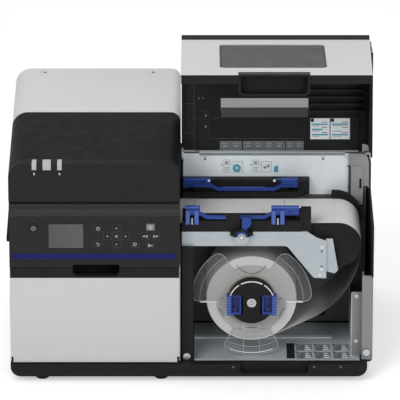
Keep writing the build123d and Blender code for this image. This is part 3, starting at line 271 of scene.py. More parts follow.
def roll_side(name, colour, centre):
    """Edge of a wound roll: very fine rings round its axis."""
    n = Nodes(name)
    mapping = n.add("ShaderNodeMapping")
    mapping.inputs["Location"].default_value = -place(centre)
    n.link(n.coords, mapping.inputs["Vector"])
    parts = n.split(mapping.outputs["Vector"])
    squares = [n.maths(NUMBER, "MULTIPLY", parts[axis], parts[axis]) for axis in "XZ"]
    radius = n.maths(NUMBER, "SQRT", n.maths(NUMBER, "ADD", *squares))
    rings = n.add("ShaderNodeTexNoise", noise_dimensions="1D")
    rings.inputs["Scale"].default_value = 1400
    rings.inputs["Detail"].default_value = 3
    n.link(radius, rings.inputs["W"])
    n.look("Base Color", n.tone(rings.outputs["Fac"], colour, 0.9, 1.05))
    n.look("Roughness", 0.7)
    n.bump(rings.outputs["Fac"], strength=0.2, distance=0.0002)
    return n.material


def clear(name, colour, alpha, roughness, shine):
    """Clear moulding, seen through, with faint flow marks and a glossy face."""
    n = Nodes(name)
    n.look("Base Color", n.tone(n.noise(scale=30, detail=3), colour, 0.95, 1.05))
    n.look("Alpha", alpha)
    n.look("Specular IOR Level", shine)
    n.rough(n.noise(scale=80, detail=3), roughness, roughness + 0.12)
    n.bump(n.noise(scale=50, detail=2), strength=0.01, distance=0.0004)
    return n.material


def steel(name, colour):
    """Turned or drawn steel, bright and finely marked."""
    n = Nodes(name)
    n.look("Base Color", n.tone(n.noise(scale=120, detail=3), colour, 0.85, 1.0))
    n.look("Metallic", 1.0)
    n.rough(n.noise(scale=500, detail=2), 0.22, 0.36)
    n.bump(n.noise(scale=900, detail=2), strength=0.06, distance=0.0001)
    return n.material


def display(name, left, right):
    """Grey display behind glass: a faint tone change across it under a gloss coat."""
    n = Nodes(name)
    n.look("Base Color", n.ramp(n.across(*SCREEN_X), [(0.0, left), (1.0, right)]))
    n.rough(n.noise(scale=90, detail=3), 0.16, 0.24)
    n.look("Coat Weight", 0.4)
    n.bump(n.noise(scale=1500, detail=2), strength=0.04, distance=0.0001)
    return n.material


MATERIALS = {
    "black_plastic": moulded("black_moulding", srgb(27, 27, 28), 0.55, shine=0.1),
    # The bay's back wall is black moulding given a lighter colour: painted light in the bay's shade.
    "wall_black_painted_light": moulded("wall_black_painted_light", srgb(82, 82, 83), 0.6, shine=0.15),
    # The hood's top is darker than its front, which is given a lighter colour: painted light.
    "hood_black": moulded(
        "hood_black", srgb(22, 22, 23), 0.6, grain=1400, depth=0.06, drift=0.02, edge=1.1, shine=0.06,
        front=srgb(40, 40, 40),
    ),
    "panel_black": moulded("panel_black", srgb(31, 31, 32), 0.42, grain=1200, depth=0.15, shine=0.14),
    "white_plastic": moulded("white_moulding", srgb(203, 205, 205), 0.5, depth=0.3, drift=0.02, edge=1.08),
    "door_white": moulded("door_white", srgb(190, 192, 190), 0.45, depth=0.2, drift=0.02, edge=1.08),
    "grey_plastic": moulded("grey_moulding", srgb(146, 147, 149), 0.55, drift=0.03, edge=1.12, shine=0.3),
    # A darker copy of the grey moulding for the lower jamb: painted shade.
    "jamb_grey_painted_shade": moulded("jamb_grey_painted_shade", srgb(126, 127, 129), 0.55, drift=0.03, edge=1.12, shine=0.3),
    "plated_sheet": sheet_metal("plated_sheet", srgb(170, 178, 183), 0.42, 0.2, 0.06),
    "back_sheet": sheet_metal("back_sheet", srgb(232, 239, 243), 0.42, 0.12, 0.04),
    # A darker copy of the plated sheet for the plate's folded lip: painted shade.
    "lip_painted_shade": sheet_metal("lip_painted_shade", srgb(126, 136, 140), 0.42, 0.2, 0.06),
    "jamb_sheet": sheet_metal("jamb_sheet", srgb(128, 129, 131), 0.5, 0.15, 0.05),
    "screw_head": sheet_metal("screw_head", srgb(206, 208, 210), 0.36, 0.3, 0.06),
    "tray_sheet": sheet_metal("tray_sheet", srgb(184, 192, 195), 0.45, 0.2, 0.12),
    "tray_light": sheet_metal("tray_light", srgb(216, 223, 226), 0.45, 0.2, 0.06),
    "steel": steel("bright_steel", srgb(190, 192, 194)),
    "blue_plastic": moulded("blue_moulding", srgb(24, 47, 108), 0.42, drift=0.1, edge=1.7, shine=0.3),
    # Lighter and darker copies of the blue moulding: painted highlight on ridges, lips and fork faces,
    # painted shade in recesses and slots.
    "blue_painted_highlight": moulded("blue_highlit_face", srgb(60, 84, 156), 0.42, drift=0.06, edge=1.2),
    "blue_painted_shade": moulded("blue_shaded_recess", srgb(20, 30, 84), 0.5, drift=0.1, shine=0.3),
    "stripe_blue": moulded("stripe_blue", srgb(19, 17, 88), 0.35, grain=400, depth=0.05, shine=0.16),
    "smoked": clear("smoked_pane", srgb(52, 53, 54), 0.5, 0.25, 0.15),
    # Colour of the dark strips in the cover's window: painted shade.
    "window_painted_shade": moulded("window_painted_shade", srgb(64, 65, 65), 0.4, drift=0.04, shine=0.2),
    "clear": clear("clear_flange", srgb(140, 142, 144), 0.13, 0.3, 0.3),
    # Bright edge lines and glints on the clear flange: painted highlights.
    "clear_edge_highlight": clear("clear_flange_edge_highlight", srgb(204, 207, 209), 0.42, 0.3, 0.3),
    "clear_painted_glint": clear("clear_flange_painted_glint", srgb(238, 240, 241), 0.9, 0.3, 0.3),
    "clear_shade": clear("clear_flange_shade", srgb(70, 72, 74), 0.75, 0.3, 0.3),
    "lamp": moulded("lamp_window", srgb(164, 166, 167), 0.3, grain=500, depth=0.08, drift=0.05, edge=1.1),
    "screen": display("screen_glass", srgb(50, 51, 51), srgb(66, 67, 68)),
    # The web's dark colour is the deepest painted shade on its inner side, and its pale colour the palest.
    "paper": web_paper("label_paper", srgb(246, 246, 245), srgb(88, 88, 88), srgb(236, 236, 235)),
    "roll_side": roll_side("roll_side", srgb(196, 196, 194), (ROLL_X, 40.0, ROLL_Z)),
    "cardboard": paper("core_board", srgb(168, 152, 128), 0.06),
    "rubber": moulded("black_rubber", srgb(24, 24, 25), 0.8, grain=500, depth=0.35, drift=0.1, shine=0.15),
    "key": moulded("key_black", srgb(22, 22, 24), 0.42, grain=1400, depth=0.15, shine=0.2),
    "icon_pale": moulded("icon_print", srgb(186, 188, 190), 0.5, depth=0.05, drift=0.02, edge=1.0),
    "panel_gloss": moulded("panel_gloss", srgb(31, 31, 32), 0.38, grain=1200, depth=0.1, shine=0.3),
    "panel_rim": moulded("panel_key_rim", srgb(54, 56, 59), 0.4, depth=0.1),
    "sticker_white": paper("sticker_white", srgb(222, 228, 230)),
    "sticker_teal": paper("sticker_teal", srgb(60, 150, 178), 0.05),
    "sticker_teal_dark": paper("sticker_teal_dark", srgb(52, 110, 122), 0.05),
    "sticker_grey": paper("sticker_grey", srgb(120, 126, 130), 0.05),
    "sticker_mid": paper("sticker_mid", srgb(140, 148, 151), 0.05),
    "sticker_dark": paper("sticker_dark", srgb(84, 88, 90), 0.05),
    "teal_edge": paper("teal_edge", srgb(22, 40, 43), 0.05),
    "liner": paper("label_liner", srgb(186, 188, 188), 0.02),
    "steel_dark": steel("dark_screw", srgb(92, 94, 96)),
    "ink_black": paper("ink_label_black", srgb(20, 20, 22), 0.1),
    "ink_cyan": paper("ink_label_cyan", srgb(20, 150, 205), 0.05),
    "ink_magenta": paper("ink_label_magenta", srgb(200, 30, 120), 0.05),
    "ink_yellow": paper("ink_label_yellow", srgb(235, 205, 30), 0.05),
    "key_grey": moulded("pause_key_grey", srgb(100, 102, 104), 0.35, grain=1400, depth=0.1, drift=0.03),
}

NODE_MATERIALS = {
    "base_tray": "black_plastic", "feet": "rubber", "left_casing": "white_plastic",
    "control_panel": "panel_black", "lcd_screen": "screen", "blue_stripe": "stripe_blue",
    "hood_front_cover": "hood_black", "status_windows": "lamp", "exit_guide": "black_plastic",
    "ink_door": "door_white", "ink_door_trim": "black_plastic", "ink_bay_frame": "black_plastic",
    "ink_cartridges": "black_plastic", "maintenance_box": "grey_plastic", "print_frame": "plated_sheet",
    "print_carriage": "black_plastic", "feed_roller": "rubber", "power_unit": "black_plastic",
    "label_web": "paper", "label_roll": "roll_side", "roll_core": "cardboard", "roll_flange": "clear",
    "roll_spindle": "black_plastic", "hub_clip_left": "blue_plastic", "hub_clip_right": "blue_plastic",
    "turn_guide": "black_plastic", "rear_guide_body": "black_plastic", "rear_guide_bar": "blue_plastic",
    "front_guide_body": "black_plastic", "front_guide_bar": "blue_plastic", "lock_lever": "blue_plastic",
    "shelf_plate": "plated_sheet", "bay_floor": "tray_sheet", "bay_back_wall": "wall_black_painted_light",
    "main_plate": "back_sheet", "upper_jamb": "grey_plastic", "lower_jamb": "jamb_grey_painted_shade",
    "left_jamb": "black_plastic", "right_side_wall": "black_plastic", "door_stops": "steel",
    "right_rear_shell": "black_plastic", "hinge_pins": "steel", "bay_screws": "screw_head",
    "cover_shell": "white_plastic", "cover_liner": "black_plastic", "cover_windows": "smoked",
    "cover_handle": "black_plastic",
}
for node_name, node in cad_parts.items():
    finish = NODE_MATERIALS.get(node_name, "key_grey" if node_name == "key_pause" else "key")
    for material_slot in node.material_slots:
        material_slot.material = MATERIALS[finish]


# Pieces in mesh code

TURN = 2 * pi
# Arcs this long are closed into a ring.
NEARLY_ROUND = TURN - 0.01
# A disc is a ring round a hole too small to see.
PINHOLE = 0.01
CORNER_STEPS = 5


def add_object(name, data):
    obj = bpy.data.objects.new(name, data)
    bpy.context.scene.collection.objects.link(obj)
    return obj


def mesh_object(name, bm):
    mesh = bpy.data.meshes.new(name)
    bm.to_mesh(mesh)
    bm.free()
    return add_object(name, mesh)


def piece(name, bm, finish, body="chassis", bevel=0.0, in_cover=False):
    """Turns a bmesh in modelling millimetres into a piece that rides on a body."""
    for vert in bm.verts:
        vert.co = place(vert.co, in_cover)
    bmesh.ops.recalc_face_normals(bm, faces=bm.faces)
    obj = mesh_object(name, bm)
    obj.data.materials.append(MATERIALS[finish])
    if bevel:
        edge = obj.modifiers.new("edge", "BEVEL")
        edge.width = bevel * MM
        edge.segments = 2
        edge.limit_method = "ANGLE"
        edge.harden_normals = False
    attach(obj, body)


def add_box(bm, x, y, z):
    for vert in bmesh.ops.create_cube(bm, size=1)["verts"]:
        vert.co = Vector([pair[0] if side < 0 else pair[1] for side, pair in zip(vert.co, (x, y, z))])


def add_solid(bm, ends):
    """Solid between two matching outlines of points."""
    first, last = [[bm.verts.new(point) for point in outline] for outline in ends]
    bm.faces.new(first)
    bm.faces.new(list(reversed(last)))
    for i in range(len(first)):
        j = (i + 1) % len(first)
        bm.faces.new((first[i], first[j], last[j], last[i]))


def add_prism(bm, points, y):
    """Outline of (x, z) points pushed between two depths."""
    add_solid(bm, [[(px, depth, pz) for px, pz in points] for depth in y])


def add_across(bm, points, x):
    """Outline of (y, z) points pushed between two places across."""
    add_solid(bm, [[(px, py, pz) for py, pz in points] for px in x])


def add_loop(bm, outer, inner, y, closed=True):
    """Band between two matching outlines of (x, z) points, between two depths."""
    grid = [[bm.verts.new((px, depth, pz)) for px, pz in ring] for depth in y for ring in (outer, inner)]
    front_out, front_in, back_out, back_in = grid
    total = len(outer)
    for i in range(total if closed else total - 1):
        j = (i + 1) % total
        bm.faces.new((front_out[i], front_out[j], front_in[j], front_in[i]))
        bm.faces.new((back_out[i], back_in[i], back_in[j], back_out[j]))
        bm.faces.new((front_out[i], back_out[i], back_out[j], front_out[j]))
        bm.faces.new((front_in[i], front_in[j], back_in[j], back_in[i]))
    if not closed:
        for k in (0, total - 1):
            bm.faces.new((front_out[k], front_in[k], back_in[k], back_out[k]))


def circle_points(x, z, radius, count, start, end):
    step = (end - start) / count
    last = count if end - start > NEARLY_ROUND else count + 1
    return [(x + radius * cos(start + i * step), z + radius * sin(start + i * step)) for i in range(last)]


def add_arc_band(bm, x, z, inner, outer, start, end, y, count):
    """Flat band along an arc, between two depths."""
    outside = circle_points(x, z, outer, count, start, end)
    inside = circle_points(x, z, inner, count, start, end)
    add_loop(bm, outside, inside, y, end - start > NEARLY_ROUND)


def add_disc(bm, x, z, radius, y, count):
    add_arc_band(bm, x, z, PINHOLE, radius, 0, TURN, y, count)


def rounded_rect(x, z, radius):
    """Outline of a rectangle with round corners."""
    points = []
    corners = (
        (x[1] - radius, z[1] - radius, 0), (x[0] + radius, z[1] - radius, pi / 2),
        (x[0] + radius, z[0] + radius, pi), (x[1] - radius, z[0] + radius, 1.5 * pi),
    )
    for cx, cz, start in corners:
        for i in range(CORNER_STEPS + 1):
            angle = start + i * pi / 2 / CORNER_STEPS
            points.append((cx + radius * cos(angle), cz + radius * sin(angle)))
    return points


def grown(pair, by):
    return pair[0] - by, pair[1] + by


def mirrored(centre, side, near, far):
    """Limits of a span on one side of a centre."""
    return sorted((centre + side * near, centre + side * far))


# Camera, light and floor

AIM = (14, 0, 325.9)
ELEVATION, DISTANCE = radians(21), 8.201
SENSOR_WIDTH, LENS, CLIP_END = 36, 448.2, 100
# The world's strength for light that falls on the part, and for what is seen of the world itself.
WORLD_LIGHT, WORLD_SEEN = 0.35, 1.0
# Name, place and target in metres, size and power.
LAMPS = (
    ("key_light", (-1.6, -3.2, 3.0), (0, 0, 0.25), 2.0, 86),
    ("front_light", (1.9, -3.7, 1.6), (0.2, 0, 0.25), 1.6, 44),
    ("top_light", (0.0, 0.6, 3.2), (0, 0, 0.3), 2.4, 26),
)
FLOOR_REACH, FLOOR_TONE, FLOOR_ROUGHNESS, FLOOR_SHINE, FLOOR_GLOW = 14, 0.82, 0.9, 0.1, 0.45


def seen_rays(tree):
    """One where a ray comes from the camera, a reflection or a clear piece, else zero."""
    path = tree.nodes.new("ShaderNodeLightPath")
    total = path.outputs["Is Camera Ray"]
    for kind in ("Is Glossy Ray", "Is Transmission Ray"):
        larger = tree.nodes.new("ShaderNodeMath")
        larger.operation = "MAXIMUM"
        tree.links.new(total, larger.inputs[0])
        tree.links.new(path.outputs[kind], larger.inputs[1])
        total = larger.outputs[0]
    return total


def set_camera(scene):
    camera = add_object("camera", bpy.data.cameras.new("camera"))
    camera.location = place(AIM) + Vector((0, -DISTANCE * cos(ELEVATION), DISTANCE * sin(ELEVATION)))
    camera.rotation_euler = (pi / 2 - ELEVATION, 0, 0)
    camera.data.sensor_width = SENSOR_WIDTH
    camera.data.lens = LENS
    camera.data.clip_end = CLIP_END
    scene.camera = camera


def set_world(scene):
    world = bpy.data.worlds.new("studio")
    scene.world = world
    world.use_nodes = True
    tree = world.node_tree
    background = tree.nodes["Background"]
    level = tree.nodes.new("ShaderNodeMix")
    level.inputs[MIX_LOW].default_value = WORLD_LIGHT
    level.inputs[MIX_HIGH].default_value = WORLD_SEEN
    tree.links.new(seen_rays(tree), level.inputs["Factor"])
    tree.links.new(level.outputs[MIX_NUMBER], background.inputs["Strength"])
    background.inputs["Color"].default_value = grey(1)


def set_lamps():
    for name, spot, target, size, power in LAMPS:
        light = bpy.data.lights.new(name, "AREA")
        light.energy = power
        light.size = size
        obj = add_object(name, light)
        obj.location = spot
        obj.rotation_euler = (Vector(target) - Vector(spot)).to_track_quat("-Z", "Y").to_euler()


def set_floor():
    """Matt floor that glows a little where it is seen, so that it comes out nearly white."""
    bm = bmesh.new()
    bmesh.ops.create_grid(bm, x_segments=2, y_segments=2, size=FLOOR_REACH)
    floor = mesh_object("floor", bm)
    n = Nodes("floor_paper")
    n.look("Base Color", grey(FLOOR_TONE))
    n.look("Roughness", FLOOR_ROUGHNESS)
    n.look("Specular IOR Level", FLOOR_SHINE)
    glow = n.add("ShaderNodeEmission")
    n.link(n.maths(NUMBER, "MULTIPLY", seen_rays(n.tree), FLOOR_GLOW), glow.inputs["Strength"])
    total = n.add("ShaderNodeAddShader")
    n.link(n.shader.outputs[0], total.inputs[0])
    n.link(glow.outputs[0], total.inputs[1])
    n.link(total.outputs[0], n.tree.nodes["Material Output"].inputs["Surface"])
    floor.data.materials.append(n.material)


def set_scene():
    scene = bpy.context.scene
    scene.view_settings.view_transform = "Standard"
    set_camera(scene)
    set_world(scene)
    set_lamps()
    set_floor()


# Detail pieces

COVER = "roll_cover"


def flat_boxes(name, finish, boxes, body="chassis", in_cover=False, bevel=0.0):
    """One piece made of several thin boxes, each given by its limits on x, y and z."""
    bm = bmesh.new()
    for x, y, z in boxes:
        add_box(bm, x, y, z)
    piece(name, bm, finish, body, bevel, in_cover)


def cover_boxes(name, finish, boxes):
    """Boxes that ride on the raised cover, given in the shut cover's place."""
    flat_boxes(name, finish, boxes, COVER, in_cover=True)


KEY_FACE = (-0.95, -0.75)
PAUSE_FACE = (-1.08, -0.94)
PANEL_PRINT = (-0.12, 0.02)
PAD_X, PAD_Z, PAD_PITCH_X, PAD_PITCH_Z = -124.0, 261.8, 15.1, 14.1
FEED_X, FEED_PITCH, FEED_STEP = -67.8, 8.5, 16.2
POWER_X, POWER_Z = -260.9, 275.7
# Thickness of the bars in the keys' symbols, and the steps round a symbol's arc.
BAR, ARC_STEPS = 0.75, 20
ARROW_TURNS = (0, 2.2, -2.2)


def pad_spot(column, row):
    return PAD_X + column * PAD_PITCH_X, PAD_Z + row * PAD_PITCH_Z


def triangle(x, z, size, angle):
    """Arrow head that points along an angle."""
    return [(x + size * cos(angle + turn), z + size * sin(angle + turn)) for turn in ARROW_TURNS]


def bars(width, *lines):
    """Thin straight bars, each between two points given as x0, z0, x1, z1."""
    made = []
    for x0, z0, x1, z1 in lines:
        along = Vector((x1 - x0, z1 - z0)).normalized() * width / 2
        side = (-along.y, along.x)
        made.append([
            (x0 + side[0], z0 + side[1]), (x0 - side[0], z0 - side[1]),
            (x1 - side[0], z1 - side[1]), (x1 + side[0], z1 + side[1]),
        ])
    return made


def key_icon(key, spot, outlines=(), arcs=()):
    """Printed symbol on one key: filled outlines, and arcs given by middle, radii and angles."""
    x, z = spot
    bm = bmesh.new()
    for points in outlines:
        add_prism(bm, [(x + px, z + pz) for px, pz in points], KEY_FACE)
    for cx, cz, inner, outer, start, end in arcs:
        add_arc_band(bm, x + cx, z + cz, inner, outer, start, end, KEY_FACE, ARC_STEPS)
    piece(key + "_icon", bm, "icon_pale", key)


def key_icons():
    """Generic symbols on the keys, such as a house, arrows, scissors and an information sign."""
    house = bars(
        BAR, (-3, 0, 0, 3), (0, 3, 3, 0), (-2.1, 0.4, -2.1, -2.8), (2.1, 0.4, 2.1, -2.8),
        (-2.35, -2.6, 2.35, -2.6),
    )
    key_icon("key_home", pad_spot(-2, 1), house)
    arrows = (("up", 0, 1, pi / 2), ("down", 0, -1, -pi / 2), ("left", -1, 0, pi), ("right", 1, 0, 0))
    for key, column, row, angle in arrows:
        key_icon("key_" + key, pad_spot(column, row), [triangle(0, 0, 1.8, angle)])
    key_icon("key_ok", pad_spot(0, 0), (), [(0, 0, 1.7, 2.3, 0, TURN), (0, 0, PINHOLE, 0.7, 0, TURN)])

    hook = [(0, -0.2, 1.9, 2.45, -pi / 2, pi / 2)]
    back = [triangle(-2.2, 2.0, 1.5, pi)] + bars(BAR, (-1.6, 2.0, 0, 2.0), (-2.4, -2.4, 0, -2.4))
    key_icon("key_back", pad_spot(-2, -1), back, hook)

    reach, line = 2.6, 2.4
    info = bars(BAR, *((-reach, s * line, reach, s * line) for s in (-1, 1)))
    info += bars(BAR, *((s * line, -reach, s * line, reach) for s in (-1, 1)))
    info += bars(0.7, (0, -1.4, 0, 0.5), (0, 1.0, 0, 1.7))
    key_icon("key_info", pad_spot(2, -1), info)

    opening = 0.7
    for key, way in (("feed_back", -1), ("feed_forward", 1)):
        angle = 0 if way > 0 else pi
        marks = [triangle(way * 2.5, 0.2, 2.1, angle)] + bars(1.1, (way * 0.4, 0.2, way * 1.8, 0.2))
        first = angle + opening
        arcs = [(-way * 1.9, 0, 1.3, 2.2, first, first + TURN - 2 * opening)]
        key_icon("key_" + key, (FEED_X + way * FEED_PITCH, PAD_Z), marks, arcs)

    blades = bars(0.8, (-1.6, -1.1, 3.8, 2.1), (-1.6, 1.1, 3.8, -2.1))
    rings = [(-2.6, s * 1.5, 0.7, 1.5, 0, TURN) for s in (-1, 1)]
    key_icon("key_cut", (FEED_X, PAD_Z - FEED_STEP), blades, rings)

    pause_z, apart, half, tall = PAD_Z + FEED_STEP, 1.2, 0.5, 1.8
    key_icon("key_pause", (FEED_X, pause_z), (), [(0, 0, PINHOLE, 3.5, 0, TURN)])
    bm = bmesh.new()
    for side in (-1, 1):
        middle = FEED_X + side * apart
        add_box(bm, (middle - half, middle + half), PAUSE_FACE, (pause_z - tall, pause_z + tall))
    piece("key_pause_bars", bm, "key", "key_pause")

    gap = 0.55
    ring = (0, 0, 2.7, 3.4, pi / 2 + gap, 2.5 * pi - gap)
    key_icon("key_power", (POWER_X, POWER_Z), bars(BAR, (0, 0.6, 0, 3.8)), [ring])


def key_surrounds():
    """Thin sunk-looking rims round the keys, printed on the panel."""
    outer_half, outer_corner, inner_half, inner_corner = 6.35, 1.8, 5.9, 1.5
    spots = [pad_spot(column, row) for column, row in (
        (-2, 1), (0, 1), (-1, 0), (0, 0), (1, 0), (-2, -1), (0, -1), (2, -1))]
    spots += [(FEED_X - FEED_PITCH, PAD_Z), (FEED_X + FEED_PITCH, PAD_Z), (FEED_X, PAD_Z - FEED_STEP)]
    bm = bmesh.new()
    for x, z in spots:
        outer = rounded_rect(grown((x, x), outer_half), grown((z, z), outer_half), outer_corner)
        inner = rounded_rect(grown((x, x), inner_half), grown((z, z), inner_half), inner_corner)
        add_loop(bm, outer, inner, PANEL_PRINT)
    piece("key_surrounds", bm, "panel_rim", "chassis")


def screen_details():
    """Black frame and mask round the display's live area."""
    x, z = (-236.4, -178.6), (240.1, 283.3)
    behind_glass, mask, frame_width = (0.35, 0.62), 0.5, 2.2
    outer = rounded_rect(grown(x, frame_width), grown(z, frame_width), 1.2)
    inner = rounded_rect(grown(x, mask), grown(z, mask), 0.3)
    bm = bmesh.new()
    add_loop(bm, outer, inner, (-0.15, 0.02))
    piece("screen_frame", bm, "key", "chassis")
    flat_boxes("screen_mask", "key", [
        (x, behind_glass, (z[0], z[0] + mask)), (x, behind_glass, (z[1] - mask, z[1])),
        ((x[0], x[0] + mask), behind_glass, z), ((x[1] - mask, x[1]), behind_glass, z),
    ])


def plate_stickers():
    """Two outlined picture stickers on the light plate, with plain shapes for pictures."""
    y, thick, line = 186.98, 0.12, 0.5
    sheet, ink = (y - thick, y), (y - 2 * thick, y - thick)
    cards, lines, grey_marks = [], [], []
    for left, right in ((53.8, 86.5), (102.6, 134.5)):
        x, z, tab, top = (left, right), (304.4, 324.0), left + 10, 326.6
        cards += [(x, sheet, z), ((left, tab), sheet, (z[1], top))]
        lines += [
            (x, ink, (z[0], z[0] + line)), ((left, left + line), ink, (z[0], top)),
            ((right - line, right), ink, z), ((tab, right), ink, (z[1] - line, z[1])),
            ((left, tab), ink, (top - line, top)), ((tab, tab + line), ink, (318, top)),
            ((left, tab + 6), ink, (317.6, 318.1)),
        ]
        grey_marks += [
            ((left + 2.5, left + 7.5), ink, (319.5, 323.5)), ((left + 2, left + 11), ink, (312, 313)),
            ((left + 2, left + 9), ink, (308.6, 309.6)), ((left - 4, left - 2), ink, (316.4, 319.4)),
        ]
    lines.append(((117.6, 118.1), ink, (304.4, 324)))
    grey_marks += [((121, 126), ink, (311, 315)), ((127, 131), ink, (313, 318))]
    teal = [((138.3, 145.7), sheet, (304.4, 314.0)), ((140.4, 145.0), sheet, (314.0, 316.3))]
    flat_boxes("plate_cards", "sticker_white", cards)
    flat_boxes("plate_card_lines", "sticker_dark", lines)
    flat_boxes("plate_card_marks", "sticker_grey", grey_marks)
    flat_boxes("plate_card_blocks", "sticker_teal", teal)
    disc_x, disc_z = 76, 311.6
    bm = bmesh.new()
    add_arc_band(bm, disc_x, disc_z, 2.6, 7.0, 0, TURN, ink, 28)
    add_disc(bm, disc_x, disc_z, 1.4, ink, 16)
    piece("plate_card_disc", bm, "sticker_teal", "chassis")


def cover_stickers():
    """Stickers on the inner face of the raised cover, given in the shut cover's place."""
    face, rear_face, sheet = 342.0, 340.0, 0.15
    strip = (174.6, 190.2)
    panels = ((47.5, 84.2), (86.4, 156.8), (158.5, 188.4))
    cover_boxes("cover_strip", "sticker_dark", [(x, strip, (face - sheet, face)) for x in panels])
    mark = (face - 0.25, face - 0.14)
    line, picture_pitch = 0.7, 15
    pale, teal = [], []
    for left, right in panels:
        pale += [((left + 0.6, right - 0.6), (y, y + line), mark) for y in (strip[0] + 0.8, strip[1] - 1.5)]
        pale += [((x, x + line), (strip[0] + 1, strip[1] - 1), mark) for x in (left + 0.6, right - 1.3)]
        count = max(2, int((right - left) / picture_pitch))
        step = (right - left) / count
        for i in range(count):
            x = left + (i + 0.16) * step
            pale.append(((x, x + step * 0.62), (strip[0] + 3, strip[0] + 4.6), mark))
            pale.append(((x + step * 0.1, x + step * 0.5), (strip[0] + 6.4, strip[0] + 10.2), mark))
            teal.append(((x + step * 0.54, x + step * 0.72), (strip[0] + 6, strip[0] + 9), mark))
            teal.append(((x, x + step * 0.3), (strip[0] + 11.6, strip[0] + 12.8), mark))
    cover_boxes("cover_strip_pictures", "sticker_grey", pale)
    cover_boxes("cover_strip_teal", "sticker_teal_dark", teal)
    mark = (rear_face - 0.25, rear_face - 0.14)
    for i, (left, right) in enumerate(((199.5, 232), (233.5, 266))):
        name = "cover_card_" + str(i + 1)
        cover_boxes(name, "sticker_white", [((left, right), (135, 171), (rear_face - sheet, rear_face))])
        teal, lines = [], []
        for row, low in enumerate((144, 153, 162)):
            if row != 1 or i == 0:
                teal.append(((left + 2.5, right - 3 - 9 * (row == 1)), (low, low + 2.4), mark))
            lines.append(((left + 4, left + 15 + 4 * i), (low + 3.4, low + 4.6), mark))
            lines.append(((left + 19, right - 4), (low - 3.4, low - 1.6), mark))
        cover_boxes(name + "_teal", "sticker_teal", teal)
        cover_boxes(name + "_grey", "sticker_mid", lines)
        cover_boxes(name + "_tag", "black_plastic", [((left + 0.4, left + 6), (135.4, 141), mark)])


def floor_stickers():
    """Rows of plain picture cards on the tray floor, and a raised bead behind them."""
    face, pitch, inset, side_line, end_line = 30.0, 31, 0.4, 0.7, 0.8
    card, mark = (face, face + 0.12), (face + 0.11, face + 0.2)
    base, dark, pale = [], [], []
    for column in range(3):
        left, right = 174.0 + column * pitch, 203.6 + column * pitch
        for front, back in ((29.0, 60.5), (62.5, 94.0)):
            base.append(((left, right), (front, back), card))
            dark.append(((left + 0.5, left + 4), (back - 5, back - 0.5), mark))
            for i in range(3):
                low = front + 4 + i * 8
                dark.append(((left + 4 + i * 3, left + 14 + i * 2), (low, low + 2.2), mark))
                pale.append(((left + 16, right - 3 - i * 2), (low, low + 4.5), mark))
            for edge in (front + inset, back - 1.2):
                pale.append(((left + inset, right - inset), (edge, edge + end_line), mark))
            for edge in (left + inset, right - 1.1):
                pale.append(((edge, edge + side_line), (front + 0.6, back - 0.6), mark))
    flat_boxes("floor_cards", "sticker_grey", base)
    flat_boxes("floor_card_lines", "teal_edge", dark)
    flat_boxes("floor_card_pictures", "sticker_white", pale)
    bead = [((4.5, 237.0), (116.5, 127.5), (31.6, 32.4)), ((4.5, 21.9), (118, 126), (29.6, 31.8))]
    flat_boxes("floor_bead", "tray_light", bead, bevel=0.3)


# The clear flange's wings: the angle of each one's middle, and half its spread.
WINGS = ((2.65, 0.545), (0.49, 0.545), (-1.5708, 0.52))
WING_RADIUS, WING_CORNER, WING_START = 101.0, 13.0, 62.0
TIP_STEPS, RIM_STEPS = 8, 18
FLANGE_EDGE, FLANGE_RIB = (44.5, 45.25), (44.9, 45.25)


def polar(radius, angle):
    return ROLL_X + radius * cos(angle), ROLL_Z + radius * sin(angle)


def wing_path(angle, half, inset):
    """Outline of one wing from root to root, moved inwards by an inset."""
    reach = WING_RADIUS - WING_CORNER
    turn = asin(WING_CORNER / reach)
    points = []
    for side in (1, -1):
        edge = angle + side * half
        offset = (side * inset * sin(edge), -side * inset * cos(edge))
        root = polar(WING_START, edge)
        tip = polar(sqrt(reach ** 2 - WING_CORNER ** 2), edge)
        line = [(px + offset[0], pz + offset[1]) for px, pz in (root, tip)]
        centre = polar(reach, edge - side * turn)
        first, last = edge + side * pi / 2, edge - side * turn
        corner = [
            (centre[0] + (WING_CORNER - inset) * cos(a), centre[1] + (WING_CORNER - inset) * sin(a))
            for a in (first + (last - first) * i / TIP_STEPS for i in range(1, TIP_STEPS + 1))
        ]
        if side > 0:
            span = 2 * (half - turn)
            rim = [polar(WING_RADIUS - inset, last - span * i / RIM_STEPS) for i in range(1, RIM_STEPS)]
            points += line + corner + rim
        else:
            points += (line + corner)[::-1]
    return points


def roll_arc(bm, inner, outer, start, end, y, count):
    """Arc band round the roll's axis."""
    add_arc_band(bm, ROLL_X, ROLL_Z, inner, outer, start, end, y, count)


